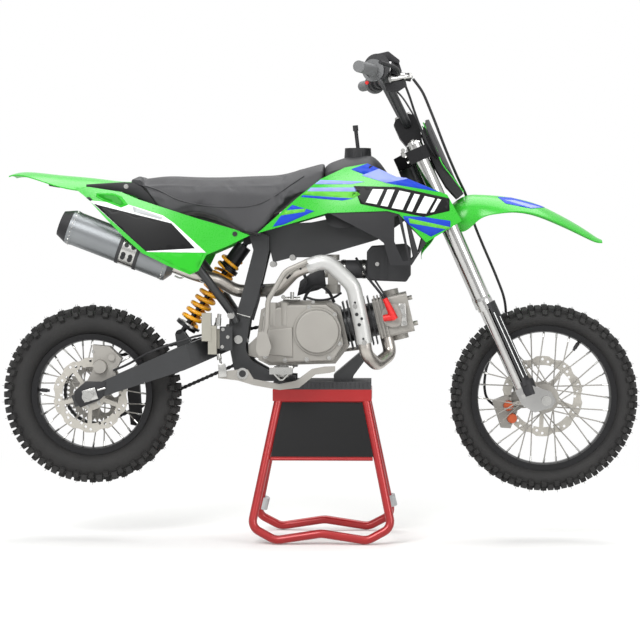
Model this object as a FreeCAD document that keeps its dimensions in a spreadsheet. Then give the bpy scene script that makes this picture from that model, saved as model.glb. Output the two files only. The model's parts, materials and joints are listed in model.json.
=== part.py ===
import FreeCAD, Part
import math
import os
import re

import Sketcher

# A small dirt bike held up on its paddock stand, front wheel towards +X.
# The floor under the stand is Z = 0, X = 0 is midway between the tyres' ends, and Y = 0 is the middle plane.
# The steering group is drawn upright about its own axis and then leant back by the rake.

SIZES = {
    # axles and wheels
    "front_axle_lead": 82.0, "front_axle_drop": 709.0, "front_axle_radius": 7.5,
    "swing_length": 413.6, "swing_droop": 20.67, "rear_axle_radius": 7.5, "bore_clearance": 0.05,
    "front_tyre_radius": 244.0, "front_tyre_width": 74.0,
    "front_rim_radius": 189.0, "front_bead_radius": 171.0,
    "rear_tyre_radius": 234.0, "rear_tyre_width": 88.0,
    "rear_rim_radius": 159.0, "rear_bead_radius": 141.0,
    "front_knob_rows": 42.0, "rear_knob_rows": 34.0, "front_knob_length": 15.0, "rear_knob_length": 17.0,
    "knob_depth": 11.0, "rim_wall": 3.0, "rim_depth": 15.0, "front_rim_width": 44.0, "rear_rim_width": 50.0,
    "hub_radius": 24.0, "hub_right": 58.0, "front_hub_left": 58.0,
    "flange_radius": 38.0, "flange_thick": 4.0, "flange_offset": 30.0,
    "spoke_radius": 1.6, "spoke_count": 32.0,
    "front_disc_radius": 106.0, "rear_disc_radius": 98.0, "disc_thick": 4.0, "disc_band": 24.0,
    "disc_offset": 50.0, "disc_waves": 10.0, "wave_depth": 5.0, "disc_hole": 3.6, "disc_arm": 11.0,
    # steering
    "head_x": 222.0, "head_z": 983.5, "rake": 24.0, "leg_lead": 38.0, "leg_spread": 92.0,
    "outer_tube_radius": 21.5, "outer_tube_length": 434.0, "outer_tube_rise": 16.0, "stanchion_radius": 16.5,
    "clamp_thick": 34.0, "lower_clamp_drop": 150.0, "lower_clamp_thick": 30.0, "stem_radius": 13.0,
    "pipe_radius": 17.0, "head_tube_radius": 25.0,
    "bar_radius": 11.0, "bar_clamp_lead": 44.0, "bar_clamp_rise": 84.0, "bar_half": 355.0,
    "grip_radius": 14.5, "grip_length": 118.0, "grip_flange": 28.0,
    # frame
    "pivot_x": -209.0, "pivot_z": 522.0, "pivot_bolt_radius": 7.0, "frame_half": 54.0, "frame_plate": 16.0,
    "subframe_radius": 11.0, "subframe_half": 70.0, "arm_wall": 27.0, "arm_room": 9.5,
    "shock_ahead": 271.9, "shock_rise": 66.3, "shock_eye_half": 16.0,
    # engine
    "engine_half": 56.0, "cover_depth": 36.0, "crank_x": -3.0, "crank_z": 545.0, "clutch_radius": 56.0,
    "cylinder_tilt": 13.0, "cylinder_x": 52.0, "cylinder_z": 540.0, "fin_count": 7.0, "fin_pitch": 11.0,
    "fin_thick": 3.0, "fin_half_height": 64.0, "fin_half_width": 52.0, "bore_radius": 36.0,
    "head_length": 92.0, "head_half_height": 52.0, "head_half_width": 48.0,
    # drive
    "drive_x": -128.0, "drive_z": 526.0, "drive_radius": 30.3,
    "sprocket_radius": 82.9, "sprocket_teeth": 38.0,
    "tyre_room": 14.5, "chain_width": 13.0, "chain_height": 10.0, "chain_pitch": 12.7, "tooth_gap": 0.6,
    "tooth_depth": 6.0, "sprocket_thick": 5.0,
    # stand
    "stand_base_half": 154.0, "stand_top_half": 78.0, "stand_tube_radius": 11.0, "beam_top": 394.0,
    "beam_depth": 30.0, "stand_left": -119.0, "stand_right": 137.0, "stand_foot_out": 60.0,
    "stand_kick": 18.0, "pad_thick": 20.0, "panel_thick": 3.0, "panel_drop": 148.0, "panel_rod": 4.5,
    # plastics
    "skin": 3.0, "seat_top": 936.0,
}

# places worked out from the sizes: both axles, and the rear hub and swingarm from the tyre and chain outwards
REAR_X = "pivot_x - swing_length * cos(swing_droop)"
REAR_Z = "pivot_z - swing_length * sin(swing_droop)"
FRONT_X = "head_x + front_axle_lead * cos(rake) + front_axle_drop * sin(rake)"
FRONT_Z = "head_z + front_axle_lead * sin(rake) - front_axle_drop * cos(rake)"
CHAIN_Y = "(rear_tyre_width / 2 + tyre_room + chain_width / 2)"
REAR_HUB_LEFT = f"({CHAIN_Y} + chain_width / 2 + 0.5)"
ARM_IN = f"({CHAIN_Y} + chain_width / 2 + arm_room)"
ARM_OUT = f"({ARM_IN} + arm_wall)"

V = FreeCAD.Vector
doc = FreeCAD.newDocument("dirt_bike")
sheet = doc.addObject("Spreadsheet::Sheet", "sizes")
for row, (alias, number) in enumerate(SIZES.items(), start=1):
    sheet.set(f"A{row}", alias)
    sheet.set(f"B{row}", str(number))
    sheet.setAlias(f"B{row}", alias)
doc.recompute()

NODES = []


def size(expression):
    """The number that an expression of the sheet's names comes to."""
    return float(sheet.evalExpression(str(expression)))


def named(expression):
    """The expression as an object outside the sheet has to write it."""
    def owned(word):
        return "sizes." + word.group() if word.group() in SIZES else word.group()

    return re.sub(r"[a-z][a-z_]*", owned, str(expression))


def bind(item, **properties):
    for name, expression in properties.items():
        item.setExpression(name.replace("__", "."), named(expression))


def place(item, x=0, y=0, z=0, axis=(0, 1, 0), turn=0):
    item.Placement = FreeCAD.Placement(V(size(x), size(y), size(z)), FreeCAD.Rotation(V(*axis), size(turn)))
    bind(item, Placement__Base__x=x, Placement__Base__y=y, Placement__Base__z=z)
    if str(turn) != "0":
        bind(item, Placement__Rotation__Angle=turn)


def steer(item):
    """Leans a piece of the steering group back about the head."""
    place(item, "head_x", 0, "head_z", (0, 1, 0), "0 - rake")


def swing(item):
    """Hangs a piece of the rear suspension from the frame's pivot."""
    place(item, "pivot_x", 0, "pivot_z", (0, 1, 0), "0 - swing_droop")


def steered(x, y, z):
    """A point of the leaning steering group, in the bike's own frame."""
    turn = math.radians(size("rake"))
    return V(size("head_x") + x * math.cos(turn) - z * math.sin(turn), y,
             size("head_z") + x * math.sin(turn) + z * math.cos(turn))


def node(item, name):
    item.Label = name
    NODES.append(item)
    return item


def shape_node(name, shape):
    item = doc.addObject("Part::Feature", name)
    item.Shape = shape
    return node(item, name)


def origin_plane(body, role):
    return next(item for item in body.Origin.OriginFeatures if item.Role == role)


def arc_middle(start, end, radius):
    """The middle of the arc from start to end; a positive radius bulges to the right of its way."""
    chord = end - start
    half = chord.Length / 2
    rise = abs(radius) - math.sqrt(max(radius * radius - half * half, 0.0))
    side = V(chord.y, -chord.x, 0).normalize() * (rise if radius > 0 else -rise)
    return start + chord * 0.5 + side


def sketch(body, name, plane, corners, offset=0, circles=()):
    """A closed outline of corners (x, y) or (x, y, radius of the arc that leads there), and whole circles."""
    drawing = body.newObject("Sketcher::SketchObject", name)
    drawing.AttachmentSupport = [(origin_plane(body, plane), "")]
    drawing.MapMode = "FlatFace"
    if str(offset) != "0":
        bind(drawing, AttachmentOffset__Base__z=offset)
    spots = [V(size(corner[0]), size(corner[1]), 0) for corner in corners]
    for i, corner in enumerate(corners):
        start, end = spots[i - 1], spots[i]
        if len(corner) == 3:
            radius = size(corner[2])
            drawing.addGeometry(Part.Arc(start, arc_middle(start, end, radius), end), False)
        else:
            drawing.addGeometry(Part.LineSegment(start, end), False)
    for i, corner in enumerate(corners):
        ends = []
        for line in (i, (i + 1) % len(corners)):
            edge = drawing.Geometry[line]
            near = (edge.StartPoint - spots[i]).Length < (edge.EndPoint - spots[i]).Length
            ends.append((line, 1 if near else 2))
        drawing.addConstraint(Sketcher.Constraint("Coincident", *ends[0], *ends[1]))
        for kind, value in (("DistanceX", corner[0]), ("DistanceY", corner[1])):
            fixed = drawing.addConstraint(Sketcher.Constraint(kind, -1, 1, *ends[0], size(value)))
            drawing.setExpression(f"Constraints[{fixed}]", named(value))
        if len(corner) == 3:
            fixed = drawing.addConstraint(Sketcher.Constraint("Radius", i, abs(size(corner[2]))))
            drawing.setExpression(f"Constraints[{fixed}]", named(f"abs({corner[2]})"))
    for x, y, radius in circles:
        add_circle(drawing, x, y, radius)
    return drawing


def add_circle(drawing, x, y, radius):
    line = drawing.addGeometry(Part.Circle(V(size(x), size(y), 0), V(0, 0, 1), size(radius)), False)
    for kind, value in (("DistanceX", x), ("DistanceY", y)):
        fixed = drawing.addConstraint(Sketcher.Constraint(kind, -1, 1, line, 3, size(value)))
        drawing.setExpression(f"Constraints[{fixed}]", named(value))
    fixed = drawing.addConstraint(Sketcher.Constraint("Radius", line, size(radius)))
    drawing.setExpression(f"Constraints[{fixed}]", named(radius))


def feature(body, kind, name, profile, reverse=False, middle=False, **sizes):
    """A pad, pocket or revolution of a sketch, with its sizes bound to the sheet."""
    item = body.newObject("PartDesign::" + kind, name)
    item.Profile = profile
    if kind in ("Revolution", "Groove"):
        item.ReferenceAxis = (profile, [sizes.pop("axis", "H_Axis")])
        item.Angle = 360
    item.Reversed = reverse
    item.Midplane = middle
    bind(item, **sizes)
    return item


def new_body(name):
    return node(doc.addObject("PartDesign::Body", name), name)


def plate(name, corners, start, thick, circles=(), corner_radius=None, plane="XZ_Plane"):
    """A flat plate whose outline lies in the XZ plane; start is how far its near face is towards -Y."""
    body = new_body(name)
    profile = sketch(body, name + "_outline", plane, corners, start, circles)
    pad = feature(body, "Pad", name + "_pad", profile, Length=thick)
    if corner_radius is not None:
        round_corners(body, pad, name, corner_radius)
    return body


def round_corners(body, base, name, radius, keep=lambda edge: True):
    """Fillets the straight edges that run across a plate at the corners of its outline."""
    doc.recompute()
    across = [f"Edge{i}" for i, edge in enumerate(base.Shape.Edges, start=1)
              if edge.Curve.TypeId == "Part::GeomLine" and abs(edge.tangentAt(edge.FirstParameter).y) > 0.99
              and keep(edge)]
    fillet = body.newObject("PartDesign::Fillet", name + "_corners")
    fillet.Base = (base, across)
    bind(fillet, Radius=radius)
    return fillet


def turned(name, outline):
    """A solid of revolution about the Y axis; its outline is a list of (y, radius)."""
    body = new_body(name)
    profile = sketch(body, name + "_profile", "YZ_Plane", outline)
    feature(body, "Revolution", name + "_turn", profile, axis="H_Axis")
    return body


def rod(start, end, radius):
    way = end - start
    return Part.makeCylinder(radius, way.Length, start, way)


def bent_path(points, radii):
    """Straight runs joined by tangent arcs, one radius for each inner point."""
    edges = []
    last = points[0]
    for i, radius in enumerate(radii, start=1):
        corner = points[i]
        before = (points[i - 1] - corner).normalize()
        after = (points[i + 1] - corner).normalize()
        half_turn = (math.pi - before.getAngle(after)) / 2
        back = radius * math.tan(half_turn)
        start, end = corner + before * back, corner + after * back
        bisector = (before + after).normalize()
        middle = corner + bisector * (radius / math.cos(half_turn) - radius)
        if (start - last).Length > 0.01:
            edges.append(Part.LineSegment(last, start).toShape())
        edges.append(Part.Arc(start, middle, end).toShape())
        last = end
    edges.append(Part.LineSegment(last, points[-1]).toShape())
    return Part.Wire(edges)


def tube(points, radii, radius):
    """A solid round bar along a bent path."""
    points = [V(*point) for point in points]
    path = bent_path(points, radii)
    profile = Part.Wire(Part.makeCircle(radius, points[0], points[1] - points[0]))
    return path.makePipeShell([profile], True, False)


def half_shell(points, radii, inner, outer, facing, spread):
    """A curved guard along a bent path: a ring's sector of plus and minus spread degrees about facing."""
    way = (points[1] - points[0]).normalize()
    out = (facing - way * facing.dot(way)).normalize()
    across = way.cross(out)

    def at(radius, degrees):
        turn = math.radians(degrees)
        return points[0] + out * (radius * math.cos(turn)) + across * (radius * math.sin(turn))

    profile = Part.Wire([Part.Arc(at(outer, -spread), at(outer, 0), at(outer, spread)).toShape(),
                         Part.LineSegment(at(outer, spread), at(inner, spread)).toShape(),
                         Part.Arc(at(inner, spread), at(inner, 0), at(inner, -spread)).toShape(),
                         Part.LineSegment(at(inner, -spread), at(outer, -spread)).toShape()])
    return bent_path(points, radii).makePipeShell([profile], True, False)


def prism(outline, low, high):
    """An outline of (x, z) corners, extruded across the bike from y = low to y = high."""
    corners = [V(x, low, z) for x, z in outline]
    return Part.Face(Part.makePolygon(corners + corners[:1])).extrude(V(0, high - low, 0))


def sheet_face(columns):
    """A smooth surface through a grid of points: columns of (x, y, z)."""
    surface = Part.BSplineSurface()
    surface.interpolate([[V(*point) for point in column] for column in columns])
    return surface.toShape()


def both_sides(shape):
    return Part.makeCompound([shape, shape.mirror(V(), V(0, 1, 0))])


def panel(outline, columns, thick):
    """A thin moulded panel: a curved sheet of even thickness, cut to its side outline."""
    sheet_solid = sheet_face(columns).extrude(V(0, thick, 0))
    lows = sheet_solid.BoundBox
    return prism(outline, lows.YMin - 10, lows.YMax + 10).common(sheet_solid).Solids[0]


def trough(stations, thick):
    """A curved mudguard: stations of (x, crown z, half width, how far the edge hangs down)."""
    wires = []
    for x, crown, half, hang in stations:
        outer = Part.Arc(V(x, -half, crown - hang), V(x, 0, crown), V(x, half, crown - hang)).toShape()
        inner = Part.Arc(V(x, half - 1, crown - hang - thick), V(x, 0, crown - thick),
                         V(x, -half + 1, crown - hang - thick)).toShape()
        right = Part.LineSegment(V(x, half, crown - hang), V(x, half - 1, crown - hang - thick)).toShape()
        left = Part.LineSegment(V(x, -half + 1, crown - hang - thick), V(x, -half, crown - hang)).toShape()
        wires.append(Part.Wire([outer, right, inner, left]))
    return Part.makeLoft(wires, True, False)


def saddle(stations):
    """A crowned solid along X: stations of (x, crown z, shoulder z, bottom z, shoulder half, bottom half)."""
    wires = []
    for x, crown, shoulder, bottom, upper, lower in stations:
        top = Part.Arc(V(x, -upper, shoulder), V(x, 0, crown), V(x, upper, shoulder)).toShape()
        right = Part.LineSegment(V(x, upper, shoulder), V(x, lower, bottom)).toShape()
        base = Part.LineSegment(V(x, lower, bottom), V(x, -lower, bottom)).toShape()
        left = Part.LineSegment(V(x, -lower, bottom), V(x, -upper, shoulder)).toShape()
        wires.append(Part.Wire([top, right, base, left]))
    return Part.makeLoft(wires, True, False)


def ring(start, end, outer, inner):
    way = end - start
    return rod(start, end, outer).cut(Part.makeCylinder(inner, way.Length + 2, start - way.normalize(), way))


def block(x, y, z):
    """A box between two corners, each a pair of limits."""
    return Part.makeBox(x[1] - x[0], y[1] - y[0], z[1] - z[0], V(x[0], y[0], z[0]))


def join(shapes):
    return shapes[0].fuse(shapes[1:]).removeSplitter()


def rim_edges(shape, y):
    """The edges that lie in the plane of this y, such as the rim of a cover's outer face."""
    return [edge for edge in shape.Edges if all(abs(point.Y - y) < 0.01 for point in edge.Vertexes)]


def cross_edges(shape):
    """The straight edges that run across the bike."""
    return [edge for edge in shape.Edges
            if edge.Curve.TypeId == "Part::GeomLine" and abs(edge.tangentAt(edge.FirstParameter).y) > 0.99]


def along(outline_yz, length):
    """An outline of (y, z) corners, extruded to both sides of x = 0."""
    corners = [V(-length / 2, y, z) for y, z in outline_yz]
    return Part.Face(Part.makePolygon(corners + corners[:1])).extrude(V(length, 0, 0))


def tyre(end, x, z):
    """A knobbed tyre: one flat-faced sector with its knobs, repeated round the axle and closed to a solid."""
    radius, half, depth = size(f"{end}_tyre_radius"), size(f"{end}_tyre_width / 2"), size("knob_depth")
    rim, seat_half = size(f"{end}_rim_radius"), size(f"{end}_rim_width / 2 - rim_wall")
    rows, length = int(size(f"{end}_knob_rows")), size(f"{end}_knob_length")
    crown = radius - depth
    half_casing = [(seat_half, rim - 6), (seat_half, rim + 4), (half - 5, rim + 26), (half - 5, crown - 16),
                   (half - 17, crown - 3)]
    mirrored = [(-y, z) for y, z in reversed(half_casing)]
    half_turn = math.pi / rows
    sector = along(half_casing + mirrored, 2 * radius * math.tan(half_turn))
    crown_half = half * 0.45
    knobs = [along([(-crown_half, crown - 6), (crown_half, crown - 6), (crown_half - 2, radius - 0.8),
                    (2 - crown_half, radius - 0.8)], length)]
    side = [(half - 18, crown - 6), (half - 15, radius - 4), (half - 3, radius - 10), (half, crown - 13),
            (half - 8, crown - 17)]
    for way in (-1, 1):
        knobs.append(along([(way * y, z) for y, z in side], length * 0.9))
    reach = radius + 10
    wedge = prism([(0, 0), (reach * math.tan(half_turn), reach), (-reach * math.tan(half_turn), reach)],
                  -half - 5, half + 5)
    sector = sector.fuse(knobs).common(wedge)
    cut = V(math.cos(half_turn), 0, math.sin(half_turn))
    outside = [face for face in sector.Faces
               if abs(abs(face.CenterOfMass.x) * cut.x - face.CenterOfMass.z * cut.z) > 0.01]
    faces = []
    for i in range(rows):
        for face in outside:
            faces.append(face.rotated(V(), V(0, 1, 0), 360 * i / rows))
    shell = Part.Shell(faces)
    shell.sewShape()
    solid = Part.Solid(shell)
    if solid.Volume < 0:
        solid.reverse()
    item = shape_node(f"{end}_tyre", solid)
    item.Placement = FreeCAD.Placement(V(size(x), 0, size(z)), FreeCAD.Rotation())


def disc(end, x, z, middle):
    """A drilled brake disc with a waved edge, carried on a ring and five arms."""
    radius, thick = size(f"{end}_disc_radius"), size("disc_thick")
    band, bore, arm = radius - size("disc_band"), size("hub_radius") + 0.2, size("disc_arm")
    low, high = V(0, middle - thick / 2, 0), V(0, middle + thick / 2, 0)
    shape = ring(low, high, radius, band).fuse(ring(low, high, bore + 15, bore))
    cuts = []
    waves, wave = int(size("disc_waves")), radius * 0.33
    for i in range(waves):
        turn = 2 * math.pi * i / waves
        spot = V(math.cos(turn), 0, math.sin(turn)) * (radius + wave - size("wave_depth"))
        cuts.append(rod(low + spot, high + spot, wave))
        for share, lead in ((0.24, 0.5), (0.5, 0.25), (0.76, 0.0)):
            turn = 2 * math.pi * (i + lead) / waves
            inset = size("wave_depth") + (radius - band) * (share - 0.1)
            spot = V(math.cos(turn), 0, math.sin(turn)) * (radius - inset)
            cuts.append(rod(low + spot, high + spot, size("disc_hole")))
    arms = []
    for i in range(5):
        bar = block((bore + 8, band + 3), (low.y, high.y), (-arm / 2, arm / 2))
        arms.append(bar.rotated(V(), V(0, 1, 0), 72 * i + 20))
    item = shape_node(f"{end}_disc", shape.fuse(arms).removeSplitter().cut(cuts))
    item.Placement = FreeCAD.Placement(V(size(x), 0, size(z)), FreeCAD.Rotation())


def wheel(end, x, z, left_end):
    """One wheel: tyre, rim, spoked hub and brake disc."""
    tyre(end, x, z)
    rim_radius, bead_radius, rim_width = f"{end}_rim_radius", f"{end}_bead_radius", f"{end}_rim_width"
    rim = turned(f"{end}_rim", [
        (f"0 - {rim_width} / 2", f"{rim_radius}"),
        (f"0 - {rim_width} / 2", f"{rim_radius} - rim_depth"),
        (f"0 - {rim_width} / 4", f"{bead_radius}"),
        (f"{rim_width} / 4", f"{bead_radius}"),
        (f"{rim_width} / 2", f"{rim_radius} - rim_depth"),
        (f"{rim_width} / 2", f"{rim_radius}"),
        (f"{rim_width} / 2 - rim_wall", f"{rim_radius}"),
        (f"{rim_width} / 2 - rim_wall", f"{rim_radius} - 6.3"),
        (f"rim_wall - {rim_width} / 2", f"{rim_radius} - 6.3"),
        (f"rim_wall - {rim_width} / 2", f"{rim_radius}"),
    ])
    hub_outline = [
        ("0 - hub_right", f"{end}_axle_radius + bore_clearance"),
        (left_end, f"{end}_axle_radius + bore_clearance"),
        (left_end, "hub_radius - 6"),
        ("disc_offset + 1", "hub_radius - 6"),
        ("disc_offset + 1", "hub_radius"),
        ("flange_offset + flange_thick", "hub_radius"),
        ("flange_offset + flange_thick", "flange_radius"),
        ("flange_offset", "flange_radius"),
        ("flange_offset", "hub_radius - 2"),
        ("0 - flange_offset", "hub_radius - 2"),
        ("0 - flange_offset", "flange_radius"),
        ("0 - flange_offset - flange_thick", "flange_radius"),
        ("0 - flange_offset - flange_thick", "hub_radius"),
        ("0 - disc_offset - 1", "hub_radius"),
        ("0 - disc_offset - 1", "hub_radius - 6"),
        ("0 - hub_right", "hub_radius - 6"),
    ]
    centre = V(size(x), 0, size(z))
    hub_body = doc.addObject("PartDesign::Body", f"{end}_hub_core")
    hub_sketch = sketch(hub_body, f"{end}_hub_profile", "YZ_Plane", hub_outline)
    feature(hub_body, "Revolution", f"{end}_hub_turn", hub_sketch, axis="H_Axis")
    doc.recompute()
    spokes = []
    count = int(size("spoke_count"))
    for i in range(count):
        side = 1 if i % 2 else -1
        lean = math.radians(26) * (1 if (i // 2) % 2 else -1)
        turn = 2 * math.pi * i / count
        inner = size("flange_radius") - 4
        outer = size(bead_radius) - 0.4
        back = turn - lean * 1.6
        flange_y = side * size("flange_offset + flange_thick / 2")
        start = V(inner * math.cos(back), flange_y, inner * math.sin(back))
        finish = V(outer * math.cos(turn), side * 4, outer * math.sin(turn))
        spokes.append(rod(start, finish, size("spoke_radius")))
    hub = shape_node(f"{end}_hub", hub_body.Shape.fuse(spokes))
    place(rim, x, 0, z)
    hub.Placement = FreeCAD.Placement(centre, FreeCAD.Rotation())
    inward = size("disc_offset - disc_thick / 2")
    disc(end, x, z, inward if end == "front" else -inward)


wheel("front", FRONT_X, FRONT_Z, "front_hub_left")
wheel("rear", REAR_X, REAR_Z, REAR_HUB_LEFT)


def pair(name, item):
    """A piece and its mirror image on the other side, as one node."""
    mirror = doc.addObject("Part::Mirroring", name + "_mirror")
    mirror.Source = item
    mirror.Normal = V(0, 1, 0)
    couple = doc.addObject("Part::Compound", name)
    couple.Links = [item, mirror]
    return node(couple, name)


# steering group
def triple_clamps():
    body = new_body("triple_clamps")
    outline = [(-24, -36), (10, "-25 - leg_spread"), ("leg_lead + 10", "-25 - leg_spread"),
               ("leg_lead + 26", "-14 - leg_spread"), ("leg_lead + 26", "20 - leg_spread"),
               (24, -34), (24, 34),
               ("leg_lead + 26", "leg_spread - 20"), ("leg_lead + 26", "leg_spread + 14"),
               ("leg_lead + 10", "leg_spread + 25"), (10, "leg_spread + 25"), (-24, 36)]
    sockets = [("leg_lead", "leg_spread", "outer_tube_radius + bore_clearance"),
               ("leg_lead", "0 - leg_spread", "outer_tube_radius + bore_clearance")]
    upper = sketch(body, "upper_clamp_outline", "XY_Plane", outline, "0 - clamp_thick / 2", sockets)
    feature(body, "Pad", "upper_clamp", upper, Length="clamp_thick")
    stem = sketch(body, "stem_outline", "XY_Plane", [], "0 - lower_clamp_drop - lower_clamp_thick / 2",
                  [(0, 0, "stem_radius")])
    feature(body, "Pad", "stem", stem, Length="lower_clamp_drop + lower_clamp_thick / 2")
    lower = sketch(body, "lower_clamp_outline", "XY_Plane", outline,
                   "0 - lower_clamp_drop - lower_clamp_thick / 2", sockets)
    feature(body, "Pad", "lower_clamp", lower, Length="lower_clamp_thick")
    steer(body)
    return body


triple_clamps()


def fork_tubes():
    tube_body = doc.addObject("PartDesign::Body", "outer_tube")
    profile = sketch(tube_body, "outer_tube_profile", "XZ_Plane", [
        ("stanchion_radius + bore_clearance", "0 - outer_tube_length"),
        ("outer_tube_radius + 1.5", "0 - outer_tube_length"),
        ("outer_tube_radius + 1.5", "26 - outer_tube_length"),
        ("outer_tube_radius", "34 - outer_tube_length"),
        ("outer_tube_radius", "clamp_thick / 2 + outer_tube_rise - 4"),
        ("outer_tube_radius - 4", "clamp_thick / 2 + outer_tube_rise"),
        (0, "clamp_thick / 2 + outer_tube_rise"),
        (0, "clamp_thick / 2 - 4"),
        ("stanchion_radius + bore_clearance", "clamp_thick / 2 - 4"),
    ])
    feature(tube_body, "Revolution", "outer_tube_turn", profile, axis="V_Axis")
    place(tube_body, "leg_lead", "0 - leg_spread", 0)
    steer(pair("fork_tubes", tube_body))


fork_tubes()


def fork_legs():
    spread, lead = size("leg_spread"), size("leg_lead")
    drop, ahead = size("front_axle_drop"), size("front_axle_lead")
    outline = [(lead - 20, 56 - drop), (lead + 20, 56 - drop), (ahead + 20, 16 - drop),
               (ahead + 22, -10 - drop), (ahead + 6, -22 - drop), (lead + 4, -16 - drop),
               (lead - 18, 16 - drop)]
    foot = prism(outline, -spread - 17, -spread + 17)
    foot = foot.makeFillet(6, cross_edges(foot))
    leg = rod(V(lead, -spread, 50 - drop), V(lead, -spread, 60 - size("outer_tube_length")),
              size("stanchion_radius"))
    bore = rod(V(ahead, -spread - 20, -drop), V(ahead, 20 - spread, -drop),
               size("front_axle_radius + bore_clearance"))
    shape = join([foot, leg]).cut(bore)
    legs = shape_node("fork_legs", both_sides(shape))
    steer(legs)


fork_legs()


def fork_guards():
    spread, lead, drop = size("leg_spread"), size("leg_lead"), size("front_axle_drop")
    low, high = 58 - drop, -size("outer_tube_length") + 14
    inner, outer = size("outer_tube_radius") + 3, size("outer_tube_radius") + 6
    shell = ring(V(lead, -spread, low), V(lead, -spread, high), outer, inner)
    guard = shell.common(block((lead + 6, lead + outer + 1), (-spread - outer, -spread + outer), (low, high)))
    guard = guard.fuse(block((lead + 6, lead + 20), (-spread - 20, -spread + 20), (low, low + 4))).cut(
        rod(V(lead, -spread, low - 5), V(lead, -spread, high), size("stanchion_radius") + 0.1))
    steer(shape_node("fork_guards", both_sides(guard.removeSplitter())))


fork_guards()


def axle(name, x, z, radius, inner, outer, head, left):
    """A hollow axle with its collars up to the hub, and its heads outside what carries it."""
    item = turned(name, [
        (f"0 - {outer} - 8", "4"), (f"{outer} + 8", "4"), (f"{outer} + 8", head), (f"{outer}", head),
        (f"{outer}", radius), (inner, radius), (inner, f"{radius} + 5"), (f"{left} + 0.3", f"{radius} + 5"),
        (f"{left} + 0.3", radius), ("0 - hub_right - 0.3", radius), ("0 - hub_right - 0.3", f"{radius} + 5"),
        (f"0 - {inner}", f"{radius} + 5"), (f"0 - {inner}", radius), (f"0 - {outer}", radius),
        (f"0 - {outer}", head), (f"0 - {outer} - 8", head),
    ])
    place(item, x, 0, z)
    return item


axle("front_axle", FRONT_X, FRONT_Z, "front_axle_radius", "(leg_spread - 17)", "(leg_spread + 17)", 13,
     "front_hub_left")


def handlebar():
    clamp_x, clamp_z = size("bar_clamp_lead"), size("bar_clamp_rise")
    end = V(-14, size("bar_half"), 248)
    shoulder = end + V(51, -195, -24)
    points = [V(end.x, -end.y, end.z), V(shoulder.x, -shoulder.y, shoulder.z), V(clamp_x, -66, clamp_z),
              V(clamp_x, 66, clamp_z), shoulder, end]
    steer(shape_node("handlebar", tube(points, [50, 45, 45, 50], size("bar_radius"))))
    way = (end - shoulder).normalize()
    tip = end + way * 3
    inner = end - way * size("grip_length")
    reach = size("bar_radius + bore_clearance")
    grip = ring(inner, end, size("grip_radius"), reach)
    flange = ring(inner - way * 4, inner, size("grip_flange"), reach)
    cap = rod(end + way * 0.1, tip, size("grip_radius"))
    seam = ring(end, end + way * 0.1, size("grip_radius"), reach)
    steer(shape_node("grips", both_sides(join([grip, flange, seam, cap]))))
    switch = ring(inner - way * 34, inner - way * 5, 21, reach)
    perch = ring(inner - way * 62, inner - way * 40, 16, reach)
    perch_centre = inner - way * 51
    lever_points = [V(44.4, -55.6, -34.1), V(58.4, -25.6, -31.1), V(54.4, 28.4, -20.1), V(22.4, 94.4, 3.9)]
    lever = tube([inner + point for point in lever_points], [40, 120], 5)
    bar_hole = rod(end, shoulder - way * 80, reach)
    arm = rod(perch_centre, inner + V(48.4, -55.6, -35.1), 9).cut(bar_hole)
    left = join([switch, perch, arm, lever])
    pump = rod(inner + V(30.4, -57.6, -20.1), inner + V(81.4, -62.6, -52.1), 10).cut(bar_hole)
    right = left.fuse(pump).mirror(V(), V(0, 1, 0))
    steer(shape_node("hand_controls", Part.makeCompound([right, left])))


handlebar()


def bar_mount():
    x, z, base = size("bar_clamp_lead"), size("bar_clamp_rise"), size("clamp_thick") / 2
    outline = [(x - 20, base), (x + 14, base), (x + 26, z - 26), (x + 26, z + 16), (x + 16, z + 24),
               (x - 22, z + 24), (x - 32, z + 14), (x - 32, z - 24)]
    post = prism(outline, 14, 44).cut(rod(V(x, 0, z), V(x, 60, z), size("bar_radius") + 0.05))
    steer(shape_node("bar_mount", both_sides(post)))


bar_mount()


def front_fender():
    stations = [(266, 738, 44, 6), (290, 785, 50, 10), (315, 832, 55, 22), (340, 868, 58, 60),
                (377, 894, 60, 88), (415, 898, 64, 62), (464, 895, 70, 44), (506, 889, 74, 34),
                (558, 876, 74, 28), (612, 852, 68, 24), (660, 826, 56, 20), (706, 797, 40, 14),
                (734, 781, 22, 6)]
    boss = prism([(280, 828), (308, 840.5), (318, 836), (302, 800), (288, 776)], -18, 18)
    shape_node("front_fender", join([trough(stations, size("skin")), boss]))


front_fender()


def number_plate():
    band_face = Part.Face(Part.Wire([
        Part.Arc(V(84, -96, 0), V(102, 0, 0), V(84, 96, 0)).toShape(),
        Part.LineSegment(V(84, 96, 0), V(81, 96, 0)).toShape(),
        Part.Arc(V(81, 96, 0), V(99, 0, 0), V(81, -96, 0)).toShape(),
        Part.LineSegment(V(81, -96, 0), V(84, -96, 0)).toShape()]))
    band = band_face.extrude(V(0, 0, 212))
    band.translate(V(0, 0, -138))
    outline = [(-48, -138), (48, -138), (92, -20), (94, 50), (70, 74), (-70, 74), (-94, 50), (-92, -20)]
    corners = [V(0, y, z) for y, z in outline]
    cutter = Part.Face(Part.makePolygon(corners + corners[:1])).extrude(V(200, 0, 0))
    stay = block((24.3, 101), (-10, 10), (-6, 6))
    steer(shape_node("number_plate", join([band.common(cutter), stay.cut(band_face.extrude(V(0, 0, 1)))])))


number_plate()


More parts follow.
